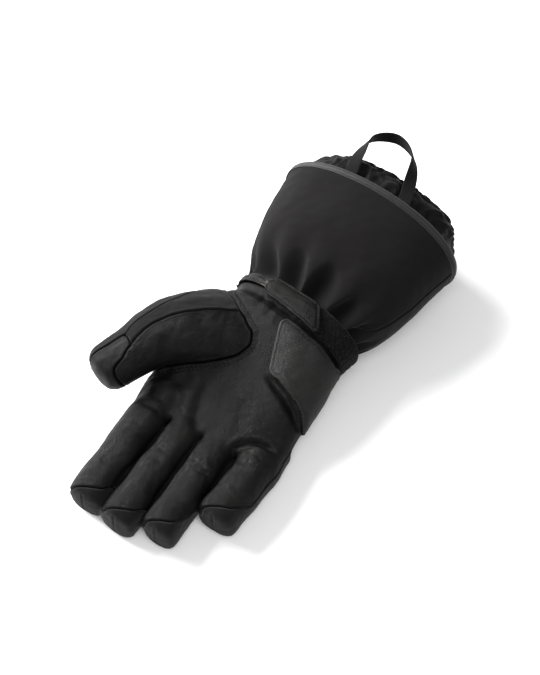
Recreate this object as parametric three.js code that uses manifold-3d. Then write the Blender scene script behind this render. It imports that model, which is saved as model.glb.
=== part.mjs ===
// A padded, heated winter glove for the right hand, with a flared gauntlet cuff. It lies on its back,
// palm up, with the fingers towards -Y and the cuff's mouth towards +Y. All lengths are millimetres.
// Every soft part is a real wall: the hand goes in at the cuff and down into each finger.
import * as THREE from 'three';
import Module from 'manifold-3d';
import { mergeVertices } from 'three/addons/utils/BufferGeometryUtils.js';

const wasm = await Module();
wasm.setup();

// Driving sizes: walls and the gap between pieces that are sewn or laid together.
const SEWN_GAP = 0.35;
const HAND_WALL = 3.2;
const GAUNTLET_WALL = 2.6;
const SLEEVE_WALL = 1.8;

// Driving sizes: the hand, from the wrist seam to the roots of the fingers.
const PALM_LENGTH = 118;
const PALM_WIDTH = 123;
const PALM_HEIGHT = 52;
const WRIST_WIDTH = 109;
const WRIST_SHIFT = -1.8;
const WRIST_TOP = 59.5;
const WRIST_BOTTOM = 7;
const WRIST_TURN = THREE.MathUtils.degToRad(12);
const WAIST_HALF = 12;

// Driving sizes: the fingers and the thumb.
const FINGER_LENGTH = 87;
const FINGER_WIDTH = 28;
const FINGER_HEIGHT = 29;
const FINGER_GAP = 1.2;
const TIP_ROUND = 5.5;
const TIP_CAP_DEPTH = 3.6;
const THUMB_REACH = 108;
const THUMB_WIDTH = 34;
const THUMB_HEIGHT = 33;
const THUMB_AXIS_HEIGHT = 42;

// Driving sizes: the gauntlet, its rim and the gathered sleeve inside it.
const GAUNTLET_LENGTH = 110;
const RIM_WIDTH = 165;
const RIM_TOP = 86;
const RIM_TURN = THREE.MathUtils.degToRad(7);
const LAID_FLAT = 1.5;
const GATHER_DEPTH = 6.5;
const BINDING_DEPTH = 5.5;
const BINDING_THICKNESS = 4;
const SLEEVE_OUT = 42;
const SLEEVE_IN = 44;
const SLEEVE_ROOM = 4.2;
const RUFFLE_DEPTH = 1.6;

// Driving sizes: the creases pressed into the palm's leather.
const CREASE_WIDTH = 4.4;
const CREASE_DEPTH = 1.7;

// Driving sizes: what is sewn on.
const PAD_THICKNESS = 2.4;
const STRIP_WIDTH = 22;
const STRIP_THICKNESS = 1.5;
const STRAP_WIDTH = 16;
const STRAP_TAB_WIDTH = 20;
const STRAP_THICKNESS = 2.2;
const LOOP_BAND_WIDTH = 10.5;
const LOOP_BAND_THICKNESS = 1.3;
const LOOP_SPREAD = 50;
const LOOP_OUT = 61;
const LOOP_RISE = 3;

// How square each cross section is: 2 is an ellipse, and more is fuller at the corners.
const SQUARE = { wrist: 2.3, palm: 2.5, finger: 2.7, thumb: 2.2, rim: 2.1 };

// How finely each surface is cut.
const FINGER_SIDES = 14;
const THUMB_SIDES = 16;
const PALM_SIDES = 28;
const LINING_KEEP = 0.72;
const CUFF_SIDES = 54;
const STRAP_STEPS = 22;
const LOOP_STEPS = 26;

// Sections of the palm. at and shift are shares of PALM_LENGTH and PALM_WIDTH, half is a share of
// PALM_WIDTH, top and hollow are shares of PALM_HEIGHT, low is a share of WRIST_BOTTOM.
const PALM_ROWS = [
  { at: 0.2, shift: -0.055, half: 0.466, top: 1.13, low: 0.25, hollow: 0.02 },
  { at: 0.42, shift: -0.061, half: 0.478, top: 1.0, low: -0.2, hollow: 0.1 },
  { at: 0.7, shift: -0.085, half: 0.5, top: 0.8, low: -0.25, hollow: 0.12 },
  { at: 0.9, shift: -0.071, half: 0.507, top: 0.66, low: -0.2, hollow: 0.05 },
  { at: 1.0, shift: -0.062, half: 0.503, top: 0.55, low: 0, hollow: 0 },
];
const PALM_STATIONS = [0.2, 0.34, 0.5, 0.68, 0.85, 1.0];
const HOLLOW_SPREAD = 0.5;

// The creases, a row for each point of one. across and along are shares of PALM_WIDTH and of
// PALM_LENGTH from the middle of the wrist, and wide is a share of CREASE_WIDTH.
const CREASE_ROWS = [
  { crease: 'little finger', across: 0.155, along: -0.965, wide: 0.4 },
  { crease: 'little finger', across: 0.181, along: -0.911, wide: 0.9 },
  { crease: 'little finger', across: 0.245, along: -0.868, wide: 1.1 },
  { crease: 'little finger', across: 0.318, along: -0.841, wide: 0.9 },
  { crease: 'little finger', across: 0.392, along: -0.828, wide: 0.3 },
  { crease: 'heel', across: 0.085, along: -0.505, wide: 0.3 },
  { crease: 'heel', across: 0.178, along: -0.556, wide: 1.0 },
  { crease: 'heel', across: 0.267, along: -0.603, wide: 1.1 },
  { crease: 'heel', across: 0.374, along: -0.65, wide: 0.8 },
  { crease: 'heel', across: 0.43, along: -0.668, wide: 0.3 },
];

// One row for each finger. root and tip are where its axis lies, as shares of PALM_WIDTH from the
// middle of the wrist. reach is a share of FINGER_LENGTH, wide of FINGER_WIDTH and lift of
// FINGER_HEIGHT.
const FINGER_ROWS = [
  { name: 'index', root: -0.427, tip: -0.402, reach: 0.985, rootWide: 1.29, wide: 1.09, lift: 0.01 },
  { name: 'middle', root: -0.168, tip: -0.164, reach: 1.02, rootWide: 1.02, wide: 1.025, lift: 0.02 },
  { name: 'ring', root: 0.057, tip: 0.071, reach: 0.925, rootWide: 1.0, wide: 1.02, lift: 0.01 },
  { name: 'little', root: 0.327, tip: 0.309, reach: 0.6, rootWide: 1.18, wide: 1.12, lift: 0.02 },
];

// How a finger's section changes along it. at is the share of its length, wide and high multiply
// its width and height, and lift raises its axis by a share of the finger's own lift.
const FINGER_SHAPE = [
  { at: 0, wide: 0.84, high: 0.95, lift: 0 },
  { at: 0.25, wide: 1.0, high: 1.06, lift: 0.2 },
  { at: 0.5, wide: 1.0, high: 1.08, lift: 0.5 },
  { at: 0.75, wide: 1.0, high: 1.02, lift: 0.8 },
  { at: 0.9, wide: 1.0, high: 1.0, lift: 1 },
];
const FINGER_STATIONS = [0, 0.3, 0.56, 0.8];

// A finger's body begins inside the palm, at this share of PALM_LENGTH, and its root's width has
// run out at this share of its own length.
const FINGER_START = 0.78;
const ROOT_RUN = 0.6;

// Sections of the thumb, from inside the palm to its tip. across and along are shares of
// THUMB_REACH from the middle of the wrist, wide of THUMB_WIDTH, high of THUMB_HEIGHT and level of
// THUMB_AXIS_HEIGHT. turn is the section's turn about Z in degrees. seam is how far from the middle
// of the section's top the leather begins, as a share of its half width.
const THUMB_ROWS = [
  { across: -0.185, along: -0.24, level: 0.84, wide: 1.72, high: 1.1, turn: 55, seam: -0.2 },
  { across: -0.397, along: -0.345, level: 0.92, wide: 1.98, high: 1.22, turn: 52, seam: -0.06 },
  { across: -0.578, along: -0.503, level: 1.01, wide: 1.78, high: 1.3, turn: 46, seam: 0 },
  { across: -0.712, along: -0.68, level: 1.07, wide: 1.44, high: 1.16, turn: 36, seam: 0.04 },
  { across: -0.785, along: -0.853, level: 1.01, wide: 1.2, high: 1.01, turn: 29, seam: 0.14 },
  { across: -0.847, along: -0.995, level: 0.92, wide: 1.15, high: 0.95, turn: 21, seam: 0.45 },
];
const THUMB_TIP_LENGTH = 0.15 * THUMB_REACH;
const THUMB_CAP_START = 3.8;
const THUMB_SEAM_LEAN = THREE.MathUtils.degToRad(37);

// Sections of the gauntlet. at is the share of the way from the waist's edge to the rim, grow the
// share of the way from the wrist's section to the rim's.
const GAUNTLET_ROWS = [
  { at: 0, grow: 0, shift: -0.011 },
  { at: 0.06, grow: 0.21, shift: -0.0105 },
  { at: 0.14, grow: 0.39, shift: -0.01 },
  { at: 0.3, grow: 0.57, shift: -0.007 },
  { at: 0.6, grow: 0.78, shift: -0.004 },
  { at: 1, grow: 1, shift: 0.004 },
];
const GAUNTLET_STATIONS = [0, 0.06, 0.14, 0.25, 0.37, 0.52, 0.75, 1];

// The underside is down on the surface once the section has grown by 1 / LAID_BY of the way.
const LAID_BY = 1.6;

// The valleys between the gathers at the wrist, round the whole cuff. turn is in degrees from the
// little finger's side over the palm side, spread in degrees, and depth and reach are shares of
// GATHER_DEPTH and of the gauntlet's length.
const GATHER_ROWS = [
  { turn: 2, spread: 8, depth: 0.6, reach: 0.32 },
  { turn: 23, spread: 8, depth: 0.85, reach: 0.36 },
  { turn: 49, spread: 10, depth: 1.0, reach: 0.42 },
  { turn: 77, spread: 10, depth: 1.0, reach: 0.48 },
  { turn: 103, spread: 8.5, depth: 1.0, reach: 0.5 },
  { turn: 132, spread: 11, depth: 1.0, reach: 0.4 },
  { turn: 160, spread: 8, depth: 0.6, reach: 0.34 },
  { turn: 186, spread: 9, depth: 0.6, reach: 0.36 },
  { turn: 213, spread: 10, depth: 0.7, reach: 0.4 },
  { turn: 240, spread: 10, depth: 0.7, reach: 0.4 },
  { turn: 267, spread: 10, depth: 0.7, reach: 0.42 },
  { turn: 294, spread: 10, depth: 0.7, reach: 0.4 },
  { turn: 322, spread: 10, depth: 0.7, reach: 0.38 },
  { turn: 344, spread: 7, depth: 0.5, reach: 0.34 },
];
const GATHER_START = 0.06;
const GATHER_HOLD = 0.25;

// The binding's rounded edges, as shares of its depth and of the gauntlet's wall.
const BINDING_ROUND = 0.28;
const BINDING_LIP = 0.3;

// The gathered sleeve inside the gauntlet: share is how far it has come from its sewn end to the
// rim, and room is a share of SLEEVE_ROOM.
const SLEEVE_INSIDE_ROWS = [
  { share: 0, room: 0 },
  { share: 0.18, room: 0.1 },
  { share: 0.6, room: 0.9 },
];

// The gathered sleeve beyond the rim: out is a share of SLEEVE_OUT, keep the share of the rim's
// half width and height that is left.
const SLEEVE_ROWS = [
  { out: 0, keep: 0.985 },
  { out: 0.35, keep: 0.98 },
  { out: 0.65, keep: 0.955 },
  { out: 0.87, keep: 0.875 },
  { out: 1, keep: 0.68 },
];
const RUFFLES = 18;

// The pull loop's route. across is a share of LOOP_SPREAD from the middle of the rim, out a share of
// LOOP_OUT beyond the rim, and stand is how far it has turned on to its edge.
const LOOP_ROWS = [
  { across: -0.48, out: -0.16, stand: 0 },
  { across: -0.48, out: 0.08, stand: 0 },
  { across: -0.59, out: 0.5, stand: 0.25 },
  { across: -0.56, out: 0.84, stand: 0.8 },
  { across: -0.19, out: 1.0, stand: 1 },
  { across: 0.22, out: 0.86, stand: 0.8 },
  { across: 0.43, out: 0.48, stand: 0.25 },
  { across: 0.55, out: 0.08, stand: 0 },
  { across: 0.56, out: -0.16, stand: 0 },
];

// The heel pad's outline from above, as shares of PALM_WIDTH across and PALM_LENGTH along.
const PAD_OUTLINE = [
  { across: 0.095, along: -0.485 },
  { across: 0.0, along: -0.2 },
  { across: 0.025, along: -0.14 },
  { across: 0.08, along: -0.13 },
  { across: 0.6, along: -0.23 },
  { across: 0.6, along: -0.66 },
  { across: 0.42, along: -0.64 },
  { across: 0.33, along: -0.6 },
  { across: 0.22, along: -0.55 },
];
const PAD_LOW = 0.3 * PALM_HEIGHT;

// The loop strip and the strap go round the wrist between these turns, from the little finger's
// side over the palm side.
const STRIP_FROM = THREE.MathUtils.degToRad(78);
const STRIP_TO = THREE.MathUtils.degToRad(-52);
const STRAP_FROM = THREE.MathUtils.degToRad(222);
const STRAP_TO = THREE.MathUtils.degToRad(62);

// Shares of the strap's length: where it widens into its tab, and where its end's slant begins.
// SLANT_CUT is the share of its width that the slant takes away. RAMP is the turn over which it
// climbs on to the strip.
const TAB_FROM = 0.56;
const TAB_TO = 0.62;
const SLANT_FROM = 0.87;
const SLANT_CUT = 0.78;
const RAMP = { from: THREE.MathUtils.degToRad(2.3), to: THREE.MathUtils.degToRad(18.3) };

// The seam between the palm's leather and the back's cloth. at is the share of PALM_LENGTH from the
// wrist, and the heights are shares of PALM_HEIGHT on the thumb's side and the little finger's.
const SIDE_SEAM_ROWS = [
  { at: -0.3, thumbSide: 0.56, littleSide: 0.46 },
  { at: 0.1, thumbSide: 0.5, littleSide: 0.3 },
  { at: 0.5, thumbSide: 0.42, littleSide: 0.19 },
  { at: 1.0, thumbSide: 0.36, littleSide: 0.36 },
  { at: 1.9, thumbSide: 0.36, littleSide: 0.4 },
];
const GAUNTLET_SEAM = { thumbSide: 0.64, littleSide: 0.52 };

// The fingers' part of the seam: it starts inside the palm at a share of PALM_LENGTH, takes its
// height from one row of the table, and each finger's leather is cut in a block round its middle.
const FINGER_SEAM = { from: 0.9, heightAt: 1.3, middleAt: 0.7, blockWide: 1.35 };

const COLOURS = {
  leather: 0x2b2a2b,
  cloth: 0x232122,
  binding: 0x2e2d2e,
  knit: 0x17171a,
  fuzz: 0x141414,
};

function material(colour, roughness) {
  return new THREE.MeshStandardMaterial({ color: COLOURS[colour], roughness, metalness: 0 });
}

// Numbers between a table's rows follow a smooth curve through the rows.
function between(rows, at, key = 'at') {
  const last = rows.length - 1;
  let i = 0;
  while (i < last - 1 && at > rows[i + 1][key]) i += 1;
  const from = rows[i];
  const to = rows[i + 1];
  const span = to[key] - from[key];
  const t = (at - from[key]) / span;
  const slope = (k, name) => {
    const low = rows[Math.max(0, k - 1)];
    const high = rows[Math.min(last, k + 1)];
    return (high[name] - low[name]) / (high[key] - low[key]);
  };
  const found = {};
  for (const name of Object.keys(from).filter((n) => typeof from[n] === 'number')) {
    const rise = to[name] - from[name];
    const a = slope(i, name) * span;
    const b = slope(i + 1, name) * span;
    const inner = t * t * (3 - 2 * t) * rise + t * (1 - t) * ((1 - t) * a - t * b);
    found[name] = from[name] + (t < 0 || t > 1 ? rise * t : inner);
  }
  return found;
}

function smooth(low, high, value) {
  return THREE.MathUtils.smoothstep(value, low, high);
}

// One closed section. u runs across and w up from the axis; inset moves the outline inwards, and
// nothing goes below the floor that the glove rests on.
function section(spec, inset, sides) {
  const { x, y, top, bottom, half, turn = 0, power = SQUARE.wrist, hollow = 0, radial = null } = spec;
  const middle = (top + bottom) / 2;
  const points = [];
  for (let i = 0; i < sides; i += 1) {
    const angle = (2 * Math.PI * i) / sides;
    const c = Math.cos(angle);
    const s = Math.sin(angle);
    const sink = inset + (radial ? radial(angle) : 0);
    const u = Math.sign(c) * Math.abs(c) ** (2 / power) * (half - sink);
    let w = Math.sign(s) * Math.abs(s) ** (2 / power) * ((top - bottom) / 2 - sink);
    if (s > 0) w -= hollow * s * Math.exp(-((u / (HOLLOW_SPREAD * half)) ** 2));
    const z = Math.max(middle + w, Math.max(inset, 0));
    points.push(new THREE.Vector3(x + Math.cos(turn) * u, y - Math.sin(turn) * u, z));
  }
  return points;
}

function middleOf(ring) {
  const sum = ring.reduce((total, p) => total.add(p), new THREE.Vector3());
  return sum.divideScalar(ring.length);
}

// A closed body from rings of equally many points. With a hole, the rings in hole are the inner
// wall; without one, each end is closed by a fan.
function skin(rings, hole = null) {
  const sides = rings[0].length;
  const points = rings.flat();
  const faces = [];
  const band = (first, second, flip) => {
    for (let i = 0; i < sides; i += 1) {
      const j = (i + 1) % sides;
      const quad = [first + i, second + i, second + j, first + j];
      const [a, b, c, d] = flip ? quad.reverse() : quad;
      faces.push(a, b, c, a, c, d);
    }
  };
  rings.slice(1).forEach((_, k) => band(k * sides, (k + 1) * sides, false));
  const end = (rings.length - 1) * sides;
  if (hole) {
    const start = points.length;
    points.push(...hole.flat());
    hole.slice(1).forEach((_, k) => band(start + k * sides, start + (k + 1) * sides, true));
    band(start, 0, false);
    band(end, start + (hole.length - 1) * sides, false);
  } else {
    const near = points.push(middleOf(rings[0])) - 1;
    const far = points.push(middleOf(rings[rings.length - 1])) - 1;
    for (let i = 0; i < sides; i += 1) {
      const j = (i + 1) % sides;
      faces.push(near, i, j, far, end + j, end + i);
    }
  }
  return solidFrom(points, faces);
}

function signedVolume(points, faces) {
  let total = 0;
  for (let i = 0; i < faces.length; i += 3) {
    const [a, b, c] = [0, 1, 2].map((k) => points[faces[i + k]]);
    total += a.dot(new THREE.Vector3().crossVectors(b, c));
  }
  return total / 6;
}

function solidFrom(points, faces) {
  const turned = signedVolume(points, faces) < 0 ? faces.slice().reverse() : faces;
  const vertProperties = new Float32Array(points.flatMap((p) => p.toArray()));
  const mesh = new wasm.Mesh({ numProp: 3, vertProperties, triVerts: new Uint32Array(turned) });
  return new wasm.Manifold(mesh);
}

function solidOfGeometry(geometry) {
  const bare = geometry.clone();
  bare.deleteAttribute('normal');
  bare.deleteAttribute('uv');
  const merged = mergeVertices(bare, 1e-4);
  const vertProperties = new Float32Array(merged.attributes.position.array);
  const triVerts = new Uint32Array(merged.index.array);
  return new wasm.Manifold(new wasm.Mesh({ numProp: 3, vertProperties, triVerts }));
}

function geometryOf(solid) {
  const mesh = solid.getMesh();
  const geometry = new THREE.BufferGeometry();
  geometry.setAttribute('position', new THREE.BufferAttribute(mesh.vertProperties, 3));
  geometry.setIndex(new THREE.BufferAttribute(mesh.triVerts, 1));
  geometry.computeVertexNormals();
  return geometry;
}

// The largest body of a cut, so that no sliver is left beside it.
function mainBody(solid) {
  return solid.decompose().sort((a, b) => b.volume() - a.volume())[0];
}

// The wrist's own section, shared by the hand, the gauntlet, the strap and the loop strip. along is
// the distance from the wrist seam, towards the cuff's mouth.
function wristSpec(along) {
  return {
    x: WRIST_SHIFT,
    y: along,
    top: WRIST_TOP,
    bottom: WRIST_BOTTOM,
    half: WRIST_WIDTH / 2,
    turn: WRIST_TURN,
  };
}

function palmSpec(at) {
  const row = between(PALM_ROWS, at);
  const share = smooth(PALM_ROWS[0].at / 2, PALM_ROWS[1].at, at);
  return {
    x: row.shift * PALM_WIDTH,
    y: -at * PALM_LENGTH,
    top: row.top * PALM_HEIGHT,
    bottom: row.low * WRIST_BOTTOM,
    half: row.half * PALM_WIDTH,
    hollow: row.hollow * PALM_HEIGHT,
    turn: WRIST_TURN * (1 - share),
    power: SQUARE.palm,
  };
}

// The palm as one closed body. Its inner form runs out past the wrist, to cut the hand open.
function palmBody(inset, past = 0, sides = PALM_SIDES) {
  const rings = [past, -WAIST_HALF].map((along) => section(wristSpec(along), inset, sides));
  for (const at of PALM_STATIONS) {
    const spec = palmSpec(at);
    if (at === 1) spec.y += Math.max(inset, 0);
    rings.push(section(spec, inset, sides));
  }
  return skin(rings);
}

function fingerSpec(finger, at) {
  const shape = between(FINGER_SHAPE, at);
  const start = -FINGER_START * PALM_LENGTH;
  const end = -PALM_LENGTH - finger.reach * FINGER_LENGTH;
  const across = THREE.MathUtils.lerp(finger.root, finger.tip, at) * PALM_WIDTH;
  const wide = THREE.MathUtils.lerp(finger.rootWide, finger.wide, Math.min(1, at / ROOT_RUN));
  const high = FINGER_HEIGHT * shape.high;
  const raise = finger.lift * FINGER_HEIGHT * shape.lift;
  return {
    x: across,
    y: THREE.MathUtils.lerp(start, end, at),
    top: raise + high,
    bottom: raise,
    half: (FINGER_WIDTH * wide * shape.wide - FINGER_GAP) / 2,
    power: SQUARE.finger,
  };
}

// The blunt round end of a finger: share of the end's length, and the share of the section left.
const ROUND_END = [0, 0.5, 0.84, 1].map((t) => ({
  t,
  keep: Math.max(0.12, (1 - t ** 3) ** (1 / 3)),
}));

function shrunk(spec, keep) {
  const middle = (spec.top + spec.bottom) / 2;
  return {
    ...spec,
    half: spec.half * keep,
    top: middle + (spec.top - middle) * keep,
    bottom: middle + (spec.bottom - middle) * keep,
  };
}

function fingerBody(finger, inset, sides = FINGER_SIDES) {
  const endShare = TIP_ROUND / (finger.reach * FINGER_LENGTH + (1 - FINGER_START) * PALM_LENGTH);
  const rings = FINGER_STATIONS.map((t) =>
    section(fingerSpec(finger, t * (1 - endShare)), inset, sides),
  );
  for (const { t, keep } of ROUND_END) {
    const spec = shrunk(fingerSpec(finger, 1 - endShare * (1 - t)), keep);
    spec.y += Math.max(inset, 0) * t;
    rings.push(section(spec, inset * keep, sides));
  }
  return skin(rings);
}

const THUMB_STATIONS = THUMB_ROWS.map((row, k) => ({ at: k, ...row }));

function thumbSpec(row) {
  const level = row.level * THUMB_AXIS_HEIGHT;
  const high = row.high * THUMB_HEIGHT;
  return {
    x: row.across * THUMB_REACH,
    y: row.along * THUMB_REACH,
    top: level + high / 2,
    bottom: level - high / 2,
    half: (row.wide * THUMB_WIDTH) / 2,
    turn: THREE.MathUtils.degToRad(row.turn),
    power: SQUARE.thumb,
  };
}

function thumbBody(inset, sides = THUMB_SIDES) {
  const rows = THUMB_STATIONS;
  const rings = [];
  for (let k = 0; k < rows.length - 1; k += 1) {
    rings.push(section(thumbSpec(rows[k]), inset, sides));
    if (k > 0) rings.push(section(thumbSpec(between(rows, k + 0.5)), inset, sides));
  }
  const last = thumbSpec(rows[rows.length - 1]);
  for (const { t, keep } of ROUND_END) {
    const spec = shrunk(last, keep);
    const forward = THUMB_TIP_LENGTH * t - Math.max(inset, 0) * t;
    spec.x -= Math.sin(spec.turn) * forward;
    spec.y -= Math.cos(spec.turn) * forward;
    rings.push(section(spec, inset * keep, sides));
  }
  return skin(rings);
}

// A block above a seam's height, grown by grow on its underside and its finger ends. The palm's
// leather is what lies in it, and the back's cloth is what lies out of it.
function aboveSideSeam(grow) {
  const far = PALM_WIDTH;
  const high = 3 * WRIST_TOP;
  const wall = SIDE_SEAM_ROWS.filter((row) => row.at <= 1).map((row) => {
    const y = -row.at * PALM_LENGTH;
    return [
      new THREE.Vector3(-far, y, row.thumbSide * PALM_HEIGHT - grow),
      new THREE.Vector3(far, y, row.littleSide * PALM_HEIGHT - grow),
      new THREE.Vector3(far, y, high),
      new THREE.Vector3(-far, y, high),
    ];
  });
  let block = skin(wall);
  FINGER_ROWS.forEach((finger, k) => {
    const side = between(SIDE_SEAM_ROWS, FINGER_SEAM.heightAt);
    const share = k / (FINGER_ROWS.length - 1);
    const low = THREE.MathUtils.lerp(side.thumbSide, side.littleSide, share) * PALM_HEIGHT - grow;
    const tip = fingerSpec(finger, 1);
    const start = -FINGER_SEAM.from * PALM_LENGTH;
    const depth = start - (tip.y + TIP_CAP_DEPTH - grow);
    const box = new THREE.BoxGeometry(FINGER_SEAM.blockWide * FINGER_WIDTH, depth, high);
    const middle = fingerSpec(finger, FINGER_SEAM.middleAt);
    box.translate(middle.x, start - depth / 2, low + high / 2);
    block = block.add(solidOfGeometry(box));
  });
  return block;
}

function gauntletSpec(at, sleeveKeep = 1) {
  const row = between(GAUNTLET_ROWS, Math.min(at, 1));
  const grow = row.grow;
  const lerp = THREE.MathUtils.lerp;
  const spec = {
    x: row.shift * RIM_WIDTH,
    y: lerp(WAIST_HALF, GAUNTLET_LENGTH, at),
    top: lerp(WRIST_TOP, RIM_TOP, grow),
    bottom: lerp(WRIST_BOTTOM, -LAID_FLAT, Math.min(1, LAID_BY * grow)),
    half: lerp(WRIST_WIDTH, RIM_WIDTH, grow) / 2,
    turn: lerp(WRIST_TURN, RIM_TURN, at),
    power: lerp(SQUARE.wrist, SQUARE.rim, grow),
  };
  return sleeveKeep === 1 ? spec : shrunk(spec, sleeveKeep);
}

// How far the gathers sink the wall at one angle, at a share of the way to the rim.
function gatherSink(at) {
  return (angle) => {
    const degrees = THREE.MathUtils.radToDeg(angle);
    let sink = 0;
    for (const row of GATHER_ROWS) {
      const apart = Math.abs(((degrees - row.turn + 540) % 360) - 180);
      const fade = smooth(0, GATHER_START, at) * (1 - smooth(GATHER_HOLD * row.reach, row.reach, at));
      sink += row.depth * GATHER_DEPTH * fade * Math.exp(-((apart / row.spread) ** 2));
    }
    return sink;
  };
}

function gauntletRings(inset) {
  const rings = [section(wristSpec(SEWN_GAP / 2), inset, CUFF_SIDES)];
  for (const at of GAUNTLET_STATIONS) {
    const spec = { ...gauntletSpec(at), radial: gatherSink(at) };
    rings.push(section(spec, inset, CUFF_SIDES));
  }
  return rings;
}

function gauntletWall() {
  return skin(gauntletRings(0), gauntletRings(GAUNTLET_WALL));
}

// The part of the gauntlet on the palm's side, above its side seams.
function aboveGauntletSeam(grow) {
  const far = RIM_WIDTH;
  const high = 2 * RIM_TOP;
  const rings = [-WAIST_HALF, GAUNTLET_LENGTH + WAIST_HALF].map((y) => [
    new THREE.Vector3(-far / 2, y, GAUNTLET_SEAM.thumbSide * RIM_TOP - grow),
    new THREE.Vector3(far / 2, y, GAUNTLET_SEAM.littleSide * RIM_TOP - grow),
    new THREE.Vector3(far, y, high),
    new THREE.Vector3(-far, y, high),
  ]);
  return skin(rings);
}

// The rim's outline, moved inwards by inset and along the glove by out.
function rimRing(inset, out) {
  const spec = gauntletSpec(1);
  spec.y += out;
  return section(spec, inset, CUFF_SIDES);
}

function binding() {
  const proud = (BINDING_THICKNESS - GAUNTLET_WALL) / 2;
  const near = SEWN_GAP;
  const far = SEWN_GAP + BINDING_DEPTH;
  const round = BINDING_ROUND * BINDING_DEPTH;
  const outer = [
    rimRing(0, near),
    rimRing(-proud, near + round),
    rimRing(-proud, far - round),
    rimRing(BINDING_LIP * GAUNTLET_WALL, far),
  ];
  const inner = [
    rimRing(GAUNTLET_WALL, near),
    rimRing(GAUNTLET_WALL + proud, near + round),
    rimRing(GAUNTLET_WALL + proud, far - round),
    rimRing((1 - BINDING_LIP) * GAUNTLET_WALL, far),
  ];
  return skin(outer, inner);
}

function sleeveRings(inset) {
  const deep = 1 - SLEEVE_IN / (GAUNTLET_LENGTH - WAIST_HALF);
  const seat = GAUNTLET_WALL + SEWN_GAP;
  const rings = [];
  for (const { share, room } of SLEEVE_INSIDE_ROWS) {
    const at = THREE.MathUtils.lerp(deep, 1, share);
    const spec = { ...gauntletSpec(at), radial: gatherSink(at) };
    rings.push(section(spec, seat + room * SLEEVE_ROOM + inset, CUFF_SIDES));
  }
  const ruffle = (depth) => (angle) => depth * (0.5 + 0.5 * Math.cos(RUFFLES * angle));
  for (const row of SLEEVE_ROWS) {
    const spec = gauntletSpec(1, row.keep);
    spec.y += row.out * SLEEVE_OUT;
    spec.radial = ruffle(RUFFLE_DEPTH * row.out);
    rings.push(section(spec, seat + SLEEVE_ROOM + inset, CUFF_SIDES));
  }
  return rings;
}

function innerSleeve() {
  return skin(sleeveRings(0), sleeveRings(SLEEVE_WALL));
}

// A band laid round the wrist. Each row of stations gives its angle, how far it stands off the
// wrist and where its two edges lie along the glove.
function wristBand(stations, thickness) {
  const rings = stations.map(({ angle, off, low, high }) => {
    const turned = (angle + 2 * Math.PI) % (2 * Math.PI);
    const at = (inset, along) => pointOnWrist(turned, inset, along);
    return [at(-off, low), at(-off, high), at(-off - thickness, high), at(-off - thickness, low)];
  });
  return skin(rings);
}

function pointOnWrist(angle, inset, along) {
  const spec = wristSpec(along);
  const c = Math.cos(angle);
  const s = Math.sin(angle);
  const reach = spec.half - inset;
  const rise = (spec.top - spec.bottom) / 2 - inset;
  const u = Math.sign(c) * Math.abs(c) ** (2 / SQUARE.wrist) * reach;
  const w = Math.sign(s) * Math.abs(s) ** (2 / SQUARE.wrist) * rise;
  return new THREE.Vector3(
    spec.x + Math.cos(spec.turn) * u,
    spec.y - Math.sin(spec.turn) * u,
    (spec.top + spec.bottom) / 2 + w,
  );
}

// The loop strip, or the room that it needs when grow is a clearance.
function loopStrip(grow = 0) {
  const stations = [];
  const half = STRIP_WIDTH / 2 + grow;
  for (let i = 0; i <= STRAP_STEPS; i += 1) {
    const angle = THREE.MathUtils.lerp(STRIP_FROM, STRIP_TO, i / STRAP_STEPS);
    stations.push({ angle, off: SEWN_GAP - grow, low: -half, high: half });
  }
  return wristBand(stations, STRIP_THICKNESS + 2 * grow);
}

// The strap comes round from the back, widens into a tab and lies on the loop strip. Its end is cut
// at a slant, with the longer edge towards the fingers.
function wristStrap() {
  const stations = [];
  const clearStrip = STRIP_THICKNESS + SEWN_GAP;
  for (let i = 0; i <= STRAP_STEPS; i += 1) {
    const share = i / STRAP_STEPS;
    const angle = THREE.MathUtils.lerp(STRAP_FROM, STRAP_TO, share);
    const tab = smooth(TAB_FROM, TAB_TO, share);
    const half = THREE.MathUtils.lerp(STRAP_WIDTH, STRAP_TAB_WIDTH, tab) / 2;
    const slant = smooth(SLANT_FROM, 1, share);
    const onStrip = 1 - smooth(STRIP_FROM + RAMP.from, STRIP_FROM + RAMP.to, angle);
    stations.push({
      angle,
      off: SEWN_GAP + onStrip * clearStrip,
      low: -half,
      high: half - SLANT_CUT * 2 * half * slant,
    });
  }
  return wristBand(stations, STRAP_THICKNESS);
}

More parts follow.
